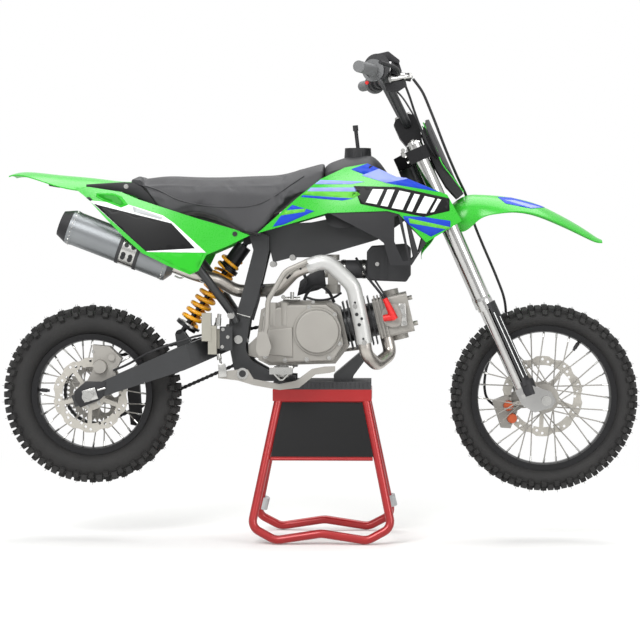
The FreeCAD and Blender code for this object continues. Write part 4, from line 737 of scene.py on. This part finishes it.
# brakes: rear caliper's round housing and hose, rear pump and pedal rod, front caliper's orange pistons
brakeKits = {
    "rearCaliperHousing": {"slot": "cast_alloy",
        "rods": {"cup": {"from": (98.9, 367.2, -66), "out": 14, "radius": 19, "endRadius": 17, "sides": 32},
            "bridge": {"from": (118, 364, -60), "to": (106, 357, -60), "radius": 6}},
        "pins": {"boss": {"at": (110, 358), "inner": -64, "outer": -74, "radius": 9}}},
    "rearCaliperPins": {"slot": "bright_steel", "bolts": {
        "low": (113, 370, -64, 4), "high": (92, 352, -64, 3.5)}},
    "rearBrakeHose": {"slot": "black_plastic", "tubes": {
        "hose": {"radius": 3, "route": [(112, 371, -70), (124, 366, -76), (150, 352, -112),
            (190, 338, -113), (212, 330, -92), (216, 322, -88)]}}},
    "frontPistons": {"body": "steering", "slot": "cast_alloy", "look": "orange_alloy", "rods": {
        "upper": {"from": (508.3, 405.5, 31), "out": 9, "radius": 14, "endRadius": 12, "sides": 28},
        "lower": {"from": (512, 418, 31), "out": 9, "radius": 14, "endRadius": 12, "sides": 28}}},
    "rearPumpFittings": {"slot": "bright_steel", "rods": {
        "neck": {"from": (219, 314, -98), "to": (218.5, 318, -98), "radius": 5},
        "union": {"from": (218, 318, -98), "to": (217.5, 326, -98), "radius": 7.5},
        "boot": {"from": (218, 354, -98), "to": (219, 360, -98), "radius": 6}}},
    "rearPumpBracket": {"slot": "black_paint", "plates": {
        "bracket": {"corners": [(219.2, 326.6), (231.9, 326.6), (231.9, 350.6), (219.2, 350.6)],
            "near": -90.1, "far": -91.3}}},
    "pedalRod": {"slot": "bright_steel",
        "rods": {"rod": {"from": (219, 358, -98), "to": (221.5, 368, -124), "radius": 3}},
        "pins": {"pivot": {"at": (242, 374), "inner": -126, "outer": -128.4, "radius": 15, "sides": 32}},
        "plates": {"clevis": {"corners": [(217.5, 364), (225, 364), (226.5, 377), (218.5, 378)],
            "near": -127.2, "far": -131, "bevel": 1}}},
    "pedalPivot": {"slot": "black_plastic", "pins": {
        "cap": {"at": (242, 374), "inner": -127, "outer": -129.2, "radius": 9, "sides": 24}}},
}
makeKits(brakeKits)
print("axle and brake trim made")


# engine: the spark plug cap, the hoses round the carburettor, the head's plate and the starter's ends
engineKits = {
    "sparkPlugCap": {"slot": "pad_rubber", "look": "red_silicone", "rods": {
        "boot": {"from": (384.8, 298.6, -68), "to": (392, 313.5, -72), "radius": 7, "endRadius": 9.5},
        "nose": {"from": (394, 316.4, -70), "to": (383.5, 318.2, -66), "radius": 10, "endRadius": 8.5},
        "elbow": {"from": (390.5, 311, -72), "to": (394.5, 319, -69), "radius": 9.5}}},
    "engineHoses": {"slot": "black_plastic", "tubes": {
        "plugLead": {"radius": 3.4, "route": [(385.2, 299.4, -66), (377, 289, -68), (369, 279, -62),
            (362, 268, -40), (356, 258, -20)]},
        "breather": {"radius": 2.6, "route": [(387, 298, -66), (380, 288, -64), (373, 277, -58),
            (366, 266, -36)]},
        "fuelLine": {"radius": 4, "route": [(334, 302, -30), (327, 290, -42), (318, 286, -44),
            (308, 292, -42), (304, 300, -40)]},
        "overflow": {"radius": 3, "route": [(305, 297, -60), (318, 300, -66), (332, 298, -60),
            (341, 293, -40)]},
        "caseVent": {"radius": 4, "route": [(268, 300, -40), (262, 286, -44), (258, 300, -48),
            (252, 320, -50)]},
        "throatHose": {"radius": 4, "route": [(300, 292, -46), (306, 283, -46), (304, 274, -30)]}}},
    "engineFittings": {"slot": "bright_steel",
        "rods": {"bar": {"from": (283, 299, -70), "to": (300, 299, -70), "radius": 6},
            "post": {"from": (292, 299, -74), "to": (292, 292, -74), "radius": 5}},
        "plates": {"plug": {"corners": [(398, 304), (405, 303), (407, 325), (401, 326), (402, 315)],
            "near": -60, "far": -63, "bevel": 0.8}},
        "bolts": {"plateTop": (401.5, 306.5, -63, 4.5), "plateLow": (404.5, 323, -63, 4.5),
            "starterRear": (283, 297, -84, 4), "starterFront": (313, 302, -80, 3.5)}},
    "wiringBundle": {"slot": "black_plastic", "plates": {
        "mass": {"corners": [(297, 296), (300, 281), (312, 272), (324, 268), (326, 286), (318, 290),
            (306, 293)], "near": -6, "far": -14, "bevel": 2}}},
    "frameWeld": {"slot": "bright_steel", "bothSides": True, "rods": {
        "bead": {"from": (236, 313.6, -54.4), "to": (250, 317.2, -54.4), "radius": 1.8, "sides": 8}}},
}
bootClamps = {"starts": (60, 112), "width": 8, "z": 704, "radius": 24.2, "wall": 1.2}

makeKits(engineKits)
bands = [bandPiece((x, 0, bootClamps["z"]), (x + bootClamps["width"], 0, bootClamps["z"]),
                   bootClamps["radius"], bootClamps["wall"]) for x in bootClamps["starts"]]
makePiece("bootClamps", bands, "chassis", "bright_steel")


# shock: the coils above its upper seat, and the lower seat
shock = {"foot": (-338, 0, 557), "head": (-252, 0, 693), "coil": 24.5, "wire": 4.3, "turns": 2.5, "pitch": 19,
         "steps": 10}
springSeat = {"plate": {"low": -5, "high": 2, "radius": 27, "sides": 36},
              "collar": {"low": -12, "high": -5, "radius": 17, "sides": 24}}


def makeShockTrim():
    foot, head = Vector(shock["foot"]), Vector(shock["head"])
    way = (head - foot).normalized()
    across = way.cross(Vector((0, 1, 0)))
    points = []
    for i in range(int(shock["turns"] * shock["steps"]) + 1):
        turn = 2 * math.pi * i / shock["steps"]
        out = across * math.cos(turn) + Vector((0, math.sin(turn), 0))
        points.append(head + way * shock["pitch"] * i / shock["steps"] + out * shock["coil"])
    makePiece("springTop", [tubePiece(points, shock["wire"], 3)], "chassis", "yellow_spring", smooth=0)
    rings = [rodPiece(foot + way * ring["low"], foot + way * ring["high"], ring["radius"], ring["sides"])
             for ring in springSeat.values()]
    makePiece("springSeat", rings, "chassis", "bright_steel")


makeShockTrim()


# exhaust: holes and screws on the heat shield, and straps, windows, collars and rivets on the muffler
shieldKits = {
    "shieldHoles": {"slot": "black_plastic",
        "pins": {"middleLeft": {"at": (356.6, 314.4), "radius": 4.6},
            "middleRight": {"at": (361.6, 318.7), "radius": 3.6},
            "middleLow": {"at": (359.1, 324.7), "radius": 4.6},
            "upper": {"at": (354.9, 302.5), "radius": 3},
            "lower": {"at": (363.2, 338.8), "radius": 3},
            "rear": {"at": (300.4, 268.8), "radius": 3}},
        "tubes": {"slot": {"radius": 3, "route": [(286.4, 278.6, -131.5), (290.4, 274.8, -131.5)]}}},
    "shieldScrews": {"slot": "bright_steel", "bolts": {
        "upper": (355.3, 306.3, -133, 5), "lower": (364.3, 342.8, -133, 5)}},
    "mufflerSpring": {"slot": "bright_steel", "tubes": {
        "hook": {"radius": 2.2, "route": [(174, 276, -92), (181, 278, -92), (186, 274.5, -92),
            (204, 283, -92)]}}},
}
holeDepths = {"inner": -131, "outer": -134.8}
for hole in shieldKits["shieldHoles"]["pins"].values():
    hole.update(holeDepths)

muffler = {"front": (-372.2, -88, 712), "back": (-640, -92, 815),
           "straps": {"starts": (92, 140), "width": 9, "radius": 44.2, "wall": 1.6},
           "sleeve": {"starts": (101,), "width": 39, "radius": 44.1, "wall": 0.7},
           "collars": {"front": 16, "back": 15, "width": 13, "radius": 44.1, "wall": 0.8},
           "windows": {"places": (111, 130), "radius": 6, "foot": 43.6, "height": 1.8, "upTurn": 78,
                       "lowTurn": 110, "stretch": 9, "stretchHeight": 1.2},
           "rivets": {"front": 22.5, "back": 8.5, "count": 24, "foot": 44.6, "height": 1.6, "radius": 2.6,
                      "endRadius": 1.4}}


def makeMufflerTrim():
    front, back = Vector(muffler["front"]), Vector(muffler["back"])
    way, length = (back - front).normalized(), (back - front).length
    across = way.cross(Vector((0, 1, 0))).normalized()
    sideways = across.cross(way)

    def along(at):
        return front + way * at

    def bands(sizes, starts):
        return [bandPiece(along(at), along(at + sizes["width"]), sizes["radius"], sizes["wall"])
                for at in starts]

    straps, sleeve, collars = muffler["straps"], muffler["sleeve"], muffler["collars"]
    makePiece("mufflerStraps", bands(straps, straps["starts"]), "chassis", "pad_rubber")
    makePiece("mufflerSleeve", bands(sleeve, sleeve["starts"]), "chassis", "bright_steel")
    sizes, windows = muffler["windows"], []
    for at in sizes["places"]:
        for turn in (sizes["upTurn"], sizes["lowTurn"]):
            out = -sideways * math.sin(math.radians(turn)) - across * math.cos(math.radians(turn))
            spot = along(at) + out * sizes["foot"]
            windows.append(rodPiece(spot, spot + out * sizes["height"], sizes["radius"]))
            if turn == sizes["lowTurn"]:
                spot += across * sizes["stretch"]
                windows.append(rodPiece(spot - out, spot + out * sizes["stretchHeight"], sizes["radius"]))
    makePiece("sleeveWindows", windows, "chassis", "black_plastic")
    starts = (collars["front"], length - collars["back"])
    makePiece("mufflerCollars", bands(collars, starts), "chassis", "titanium")
    sizes, rivets = muffler["rivets"], []
    for at in (sizes["front"], length - sizes["back"]):
        for i in range(sizes["count"]):
            turn = 2 * math.pi * i / sizes["count"]
            out = sideways * math.cos(turn) + across * math.sin(turn)
            spot = along(at) + out * sizes["foot"]
            rivets.append(rodPiece(spot, spot + out * sizes["height"], sizes["radius"], sides=8,
                                   endRadius=sizes["endRadius"]))
    makePiece("mufflerRivets", rivets, "chassis", "bright_steel")


makeKits(shieldKits)
makeMufflerTrim()
print("engine and exhaust trim made")


# plastics: grab brackets, the tabs of the side panels, the lug under the fender and the tank cap's grips
plasticKits = {
    "grabBrackets": {"slot": "black_plastic", "bothSides": True, "plates": {
        "bracket": {"corners": [(85.5, 184.2), (85.7, 188.4), (104, 189.4), (118, 190.8), (134, 196),
            (158, 206.5), (150, 196), (141, 186.5), (132.5, 182.4), (124, 182)], "near": -97, "far": -101.5,
            "bevel": 1.2}}},
    "panelTabs": {"slot": "black_plastic", "bothSides": True, "plates": {
        "tab": {"corners": [(85.4, 197.4), (88.5, 196.8), (92, 199.6), (90.2, 201.4)], "near": -117,
            "far": -120.5, "bevel": 0.5}}},
    "fenderLug": {"slot": "black_plastic", "plates": {
        "lug": {"corners": [(48, 184.2), (60, 186.4), (58, 187.6), (49, 186)], "drawnAt": 0, "near": -14,
            "far": 14, "bevel": 0.8}}},
}
capGrips = {"x": 100, "circle": 31, "count": 10, "low": 994, "height": 22, "radius": 4.5, "endRadius": 3}
ventTip = {"low": (94.3, 0, 1064), "high": (93, 0, 1078.5), "radius": 7}


def makeCapGrips():
    knobs = []
    for i in range(capGrips["count"]):
        turn = 2 * math.pi * i / capGrips["count"]
        spot = Vector((capGrips["x"] + capGrips["circle"] * math.cos(turn),
                       capGrips["circle"] * math.sin(turn), capGrips["low"]))
        knobs.append(rodPiece(spot, spot + Vector((0, 0, capGrips["height"])), capGrips["radius"], sides=12,
                              endRadius=capGrips["endRadius"]))
    tip = rodPiece(ventTip["low"], ventTip["high"], ventTip["radius"])
    makePiece("capGrips", knobs + [tip], "chassis", "black_plastic")


makeKits(plasticKits)
makeCapGrips()


# steering: fork caps and clamp bolts on the leaning head, then what was picked in the photo
headAxis = {"x": 222, "z": 983.5, "rake": 24}
forkCap = {"lead": 38, "side": -92, "low": 32.8, "middle": 37, "top": 41, "radius": 15, "endRadius": 13,
           "hexRadius": 8}
clampBolts = {"lead": 8, "side": -109, "heights": (-8, 8, -158, -142), "radius": 4.2,
              "out": (-0.9, -0.3, -0.4), "height": 6}
barBolts = {"leads": (26, 58), "side": -29, "top": 108, "radius": 4.5, "out": (-0.4, 0, 0.91), "height": 5}


def steeredPoint(x, y, z):
    turn = math.radians(headAxis["rake"])
    return Vector((headAxis["x"] + x * math.cos(turn) - z * math.sin(turn), y,
                   headAxis["z"] + x * math.sin(turn) + z * math.cos(turn)))


def makeClampTrim():
    low, middle, top = [steeredPoint(forkCap["lead"], forkCap["side"], forkCap[level])
                        for level in ("low", "middle", "top")]
    caps = [rodPiece(low, middle, forkCap["radius"], sides=32, endRadius=forkCap["endRadius"]),
            rodPiece(middle, top, forkCap["hexRadius"], sides=6)]
    makePiece("forkCaps", bothSides(caps), "steering", "bright_steel")
    heads = [boltPiece(steeredPoint(clampBolts["lead"], clampBolts["side"], z), clampBolts["radius"],
                       clampBolts["out"], clampBolts["height"]) for z in clampBolts["heights"]]
    makePiece("clampBolts", bothSides(heads), "steering", "bright_steel")
    heads = [boltPiece(steeredPoint(lead, barBolts["side"], barBolts["top"]), barBolts["radius"],
                       barBolts["out"], barBolts["height"]) for lead in barBolts["leads"]]
    makePiece("barMountBolts", bothSides(heads), "steering", "bright_steel")


steeringKits = {
    "brakePump": {"slot": "bright_steel", "boltOut": (0, 0, 1), "boltHeight": 9,
        "rods": {"barrel": {"from": (389.5, 79.4, -205), "to": (403.5, 77.6, -190), "radius": 10},
            "nose": {"from": (403, 78, -190), "to": (411.5, 77.2, -184), "radius": 5.5}},
        "bolts": {"union": (409, 77.4, -186, 6.5)}},
    "throttleHousing": {"slot": "black_plastic",
        "rods": {"drum": {"from": (376.5, 67.5, -240), "to": (377.5, 68.5, -224), "radius": 33,
            "endRadius": 31, "sides": 40}},
        "plates": {"roof": {"corners": [(366, 61), (377, 54.5), (388, 52), (391, 54.5), (399.5, 61),
            (398.5, 65), (389, 61.5), (384, 66)], "near": -222, "far": -206, "bevel": 3},
            "belly": {"corners": [(384, 84), (405, 80.5), (406.5, 86.5), (398, 92), (386, 92)],
            "near": -204, "far": -192, "bevel": 2}}},
    "leverPerch": {"slot": "black_alloy", "plates": {
        "perch": {"corners": [(391, 62.5), (398.6, 63.5), (401.5, 72), (397, 76), (389.5, 74)],
            "near": -214, "far": -198, "bevel": 2}}},
    "plateWings": {"slot": "black_plastic", "bothSides": True, "plates": {
        "wing": {"corners": [(424, 125), (431, 131), (440, 152), (446, 166), (456, 181), (463, 194),
            (457, 199), (446, 187), (436, 170), (428, 152), (421, 134)], "near": -62, "far": -66}}},
    "forkCollars": {"slot": "black_plastic", "bothSides": True, "rods": {
        "collar": {"from": (524.5, 380, -92), "to": (529.5, 394.5, -92), "radius": 22, "sides": 32}}},
    # painted highlights: thin white rods along the edges of the black fork guards, where light catches them,
    # dressed in the white vinyl look
    "guardPaintedHighlights": {"slot": "black_plastic", "look": "vinyl_white", "bothSides": True, "rods": {
        "rear": {"from": (493.6, 312, -118.8), "to": (523.2, 377, -118.8), "radius": 1.1, "sides": 8},
        "front": {"from": (499.6, 316, -118), "to": (526.6, 375, -118), "radius": 0.8, "sides": 8}}},
    "killButton": {"slot": "pad_rubber", "look": "red_silicone", "pins": {
        "button": {"at": (366.6, 83.4), "inner": 214, "outer": 206, "radius": 5}}},
    "barCables": {"slot": "black_plastic", "tubes": {
        "throttle": {"radius": 3, "route": [(404, 84, -180), (409, 97, -160), (414, 112, -130),
            (420, 128, -112), (428, 146, -96), (436, 158, -70)]},
        "clutch": {"radius": 2.6, "points": [(180, 246, 1196), (206, 214, 1176), (238, 168, 1128),
            (266, 126, 1072), (288, 92, 1006), (300, 66, 960)]}}},
    "plateStripe": {"slot": "green_plastic", "bothSides": True, "tubes": {
        "stripe": {"radius": 1.6, "route": [(422.6, 123, -88), (430, 138, -88), (436.5, 151, -88),
            (441.5, 163.4, -88), (452, 177.5, -88), (463, 192, -88)]}}},
}
makeClampTrim()
makeKits(steeringKits, "steering")
print("plastic and steering trim made")


# seat seam: a welt that follows the cushion's own surface, on a route picked in the photo
seam = {"depth": -112, "rayFrom": 400, "lift": 0.6, "radius": 1.7, "route": [
    (137.8, 184.4), (150, 187.5), (162, 192.3), (173.7, 198.1), (184, 201.6), (195.7, 204), (208, 205.8),
    (222, 206.9), (236, 207.2), (250, 205.9), (264.2, 201.6), (278.2, 193.2), (290, 184.6), (303, 176)]}


def makeSeatSeam():
    cushion = bpy.data.objects["seatCover"]
    for side, sideName in ((-1, "Right"), (1, "Left")):
        points = []
        for across, down in seam["route"]:
            place = seen(across, down, seam["depth"])
            start = Vector((place.x, side * seam["rayFrom"], place.z)) * mm
            hit, spot, normal = cushion.ray_cast(start, (0, -side, 0))[:3]
            if hit:
                points.append((spot + normal * seam["lift"] * mm) / mm)
        makePiece("seatSeam" + sideName, [tubePiece(points, seam["radius"])], "chassis", "seat_cover",
                  smooth=0)


makeSeatSeam()


# stand: sleeves on two legs, black sheets over its leaning side panels, and a ribbed mat on the pad
standKits = {
    "legSleeves": {"slot": "grey_plastic", "look": "vinyl_grey", "rods": {
        "rear": {"from": (265.4, 498, 126), "to": (262.6, 509.5, 132), "radius": 11.9, "sides": 24},
        "front": {"from": (390.6, 495, 124), "to": (393.2, 506, 130), "radius": 11.9, "sides": 24}}},
}
sheets = {"topCorners": [(281, 402.4, -68), (364, 402.4, -68)], "topY": 70.6,
          "lowCorners": [(374.5, 457.2, -98), (270.5, 457.2, -98)], "lowY": 101.2, "thick": 0.8}
padRibs = {"count": 22, "inset": 8, "rise": 4, "radius": 1.6}


def makeSheets():
    pieces = []
    for side in (-1, 1):
        corners = [(*seen(*spot).xz, sheets[level + "Y"]) for level in ("top", "low")
                   for spot in sheets[level + "Corners"]]
        mesh = bpy.data.meshes.new("sheet")
        mesh.from_pydata([(x * mm, side * y * mm, z * mm) for x, z, y in corners], [], [(0, 1, 2, 3)])
        piece = onScene("sheet", mesh)
        addModifier(piece, "SOLIDIFY", thickness=sheets["thick"] * mm, offset=0)
        pieces.append(piece)
    makePiece("standSheets", pieces, "chassis", "black_paint", "vinyl_black")


def makePadRibs():
    low, high = [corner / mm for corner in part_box("stand_pad")]
    step = (high.x - low.x - 2 * padRibs["inset"]) / (padRibs["count"] - 1)
    ribs = []
    for i in range(padRibs["count"]):
        x = low.x + padRibs["inset"] + i * step
        for y in (low.y, high.y):
            ribs.append(rodPiece((x, y, low.z + padRibs["rise"]), (x, y, high.z - padRibs["rise"]),
                                 padRibs["radius"], sides=8))
    makePiece("padRibs", ribs, "chassis", "pad_rubber")


makeSheets()
makeKits(standKits)
makePadRibs()
print("seat and stand trim made")


# floor, light and world
studio = {"floorHalf": 14, "fadeFrom": 0.5, "fadeTo": 2.4, "floorColour": "#f6f6f5", "worldLight": 0.36,
          "lampAim": (0, 0, 0.6)}
lamps = {
    "keyLamp": {"place": (-1.6, -3.4, 3.2), "size": 2.4, "power": 165},
    "fillLamp": {"place": (2.8, -3.0, 1.6), "size": 2.0, "power": 55},
    "topLamp": {"place": (0.2, 0.6, 3.6), "size": 3.0, "power": 110},
}


def makeFloor():
    # a pale floor that fades into the white background away from the object
    freshStart()
    bpy.ops.mesh.primitive_plane_add(size=2 * studio["floorHalf"], location=(0, 0, 0))
    floor = bpy.context.object
    floor.name = "studioFloor"
    material, tree, surface, place = newMaterial("matFloor", {
        "Base Color": linearColour(studio["floorColour"]), "Roughness": 0.8, "Specular IOR Level": 0.2})
    far = addNode(tree, "VectorMath", links={0: place}, operation="LENGTH")
    fade = addNode(tree, "MapRange", {"From Min": studio["fadeFrom"], "From Max": studio["fadeTo"]},
                   {"Value": far.outputs["Value"]}, interpolation_type="SMOOTHSTEP")
    path = addNode(tree, "LightPath")
    shown = addNode(tree, "Math", links={0: fade.outputs[0], 1: path.outputs["Is Camera Ray"]},
                    operation="MULTIPLY")
    glow = addNode(tree, "Emission", {"Color": (1, 1, 1, 1), "Strength": 1.0})
    blend = addNode(tree, "MixShader", links={0: shown.outputs[0], 1: surface.outputs[0], 2: glow.outputs[0]})
    output = next(node for node in tree.nodes if node.type == "OUTPUT_MATERIAL")
    tree.links.new(blend.outputs[0], output.inputs["Surface"])
    floor.data.materials.append(material)


def makeLamps():
    for name, lamp in lamps.items():
        bpy.ops.object.light_add(type="AREA", location=lamp["place"])
        light = bpy.context.object
        light.name = name
        light.data.size = lamp["size"]
        light.data.energy = lamp["power"]
        aim = Vector(studio["lampAim"]) - Vector(lamp["place"])
        light.rotation_euler = aim.to_track_quat("-Z", "Y").to_euler()


def makeWorld():
    # white where the camera, a mirror or glass looks at it, and dimmer as a light
    world = bpy.data.worlds.new("studioWorld")
    bpy.context.scene.world = world
    world.use_nodes = True
    tree = world.node_tree
    tree.nodes.clear()
    path = addNode(tree, "LightPath")
    glossy = addNode(tree, "Math", links={0: path.outputs["Is Camera Ray"], 1: path.outputs["Is Glossy Ray"]},
                     operation="MAXIMUM")
    shown = addNode(tree, "Math", links={0: glossy.outputs[0], 1: path.outputs["Is Transmission Ray"]},
                    operation="MAXIMUM")
    light = addNode(tree, "Background", {"Color": (1, 1, 1, 1), "Strength": studio["worldLight"]})
    back = addNode(tree, "Background", {"Color": (1, 1, 1, 1), "Strength": 1.0})
    blend = addNode(tree, "MixShader", links={0: shown.outputs[0], 1: light.outputs[0], 2: back.outputs[0]})
    addNode(tree, "OutputWorld", links={"Surface": blend.outputs[0]})
    bpy.context.scene.view_settings.view_transform = "Standard"


makeFloor()
makeLamps()
makeWorld()
print("studio lit")
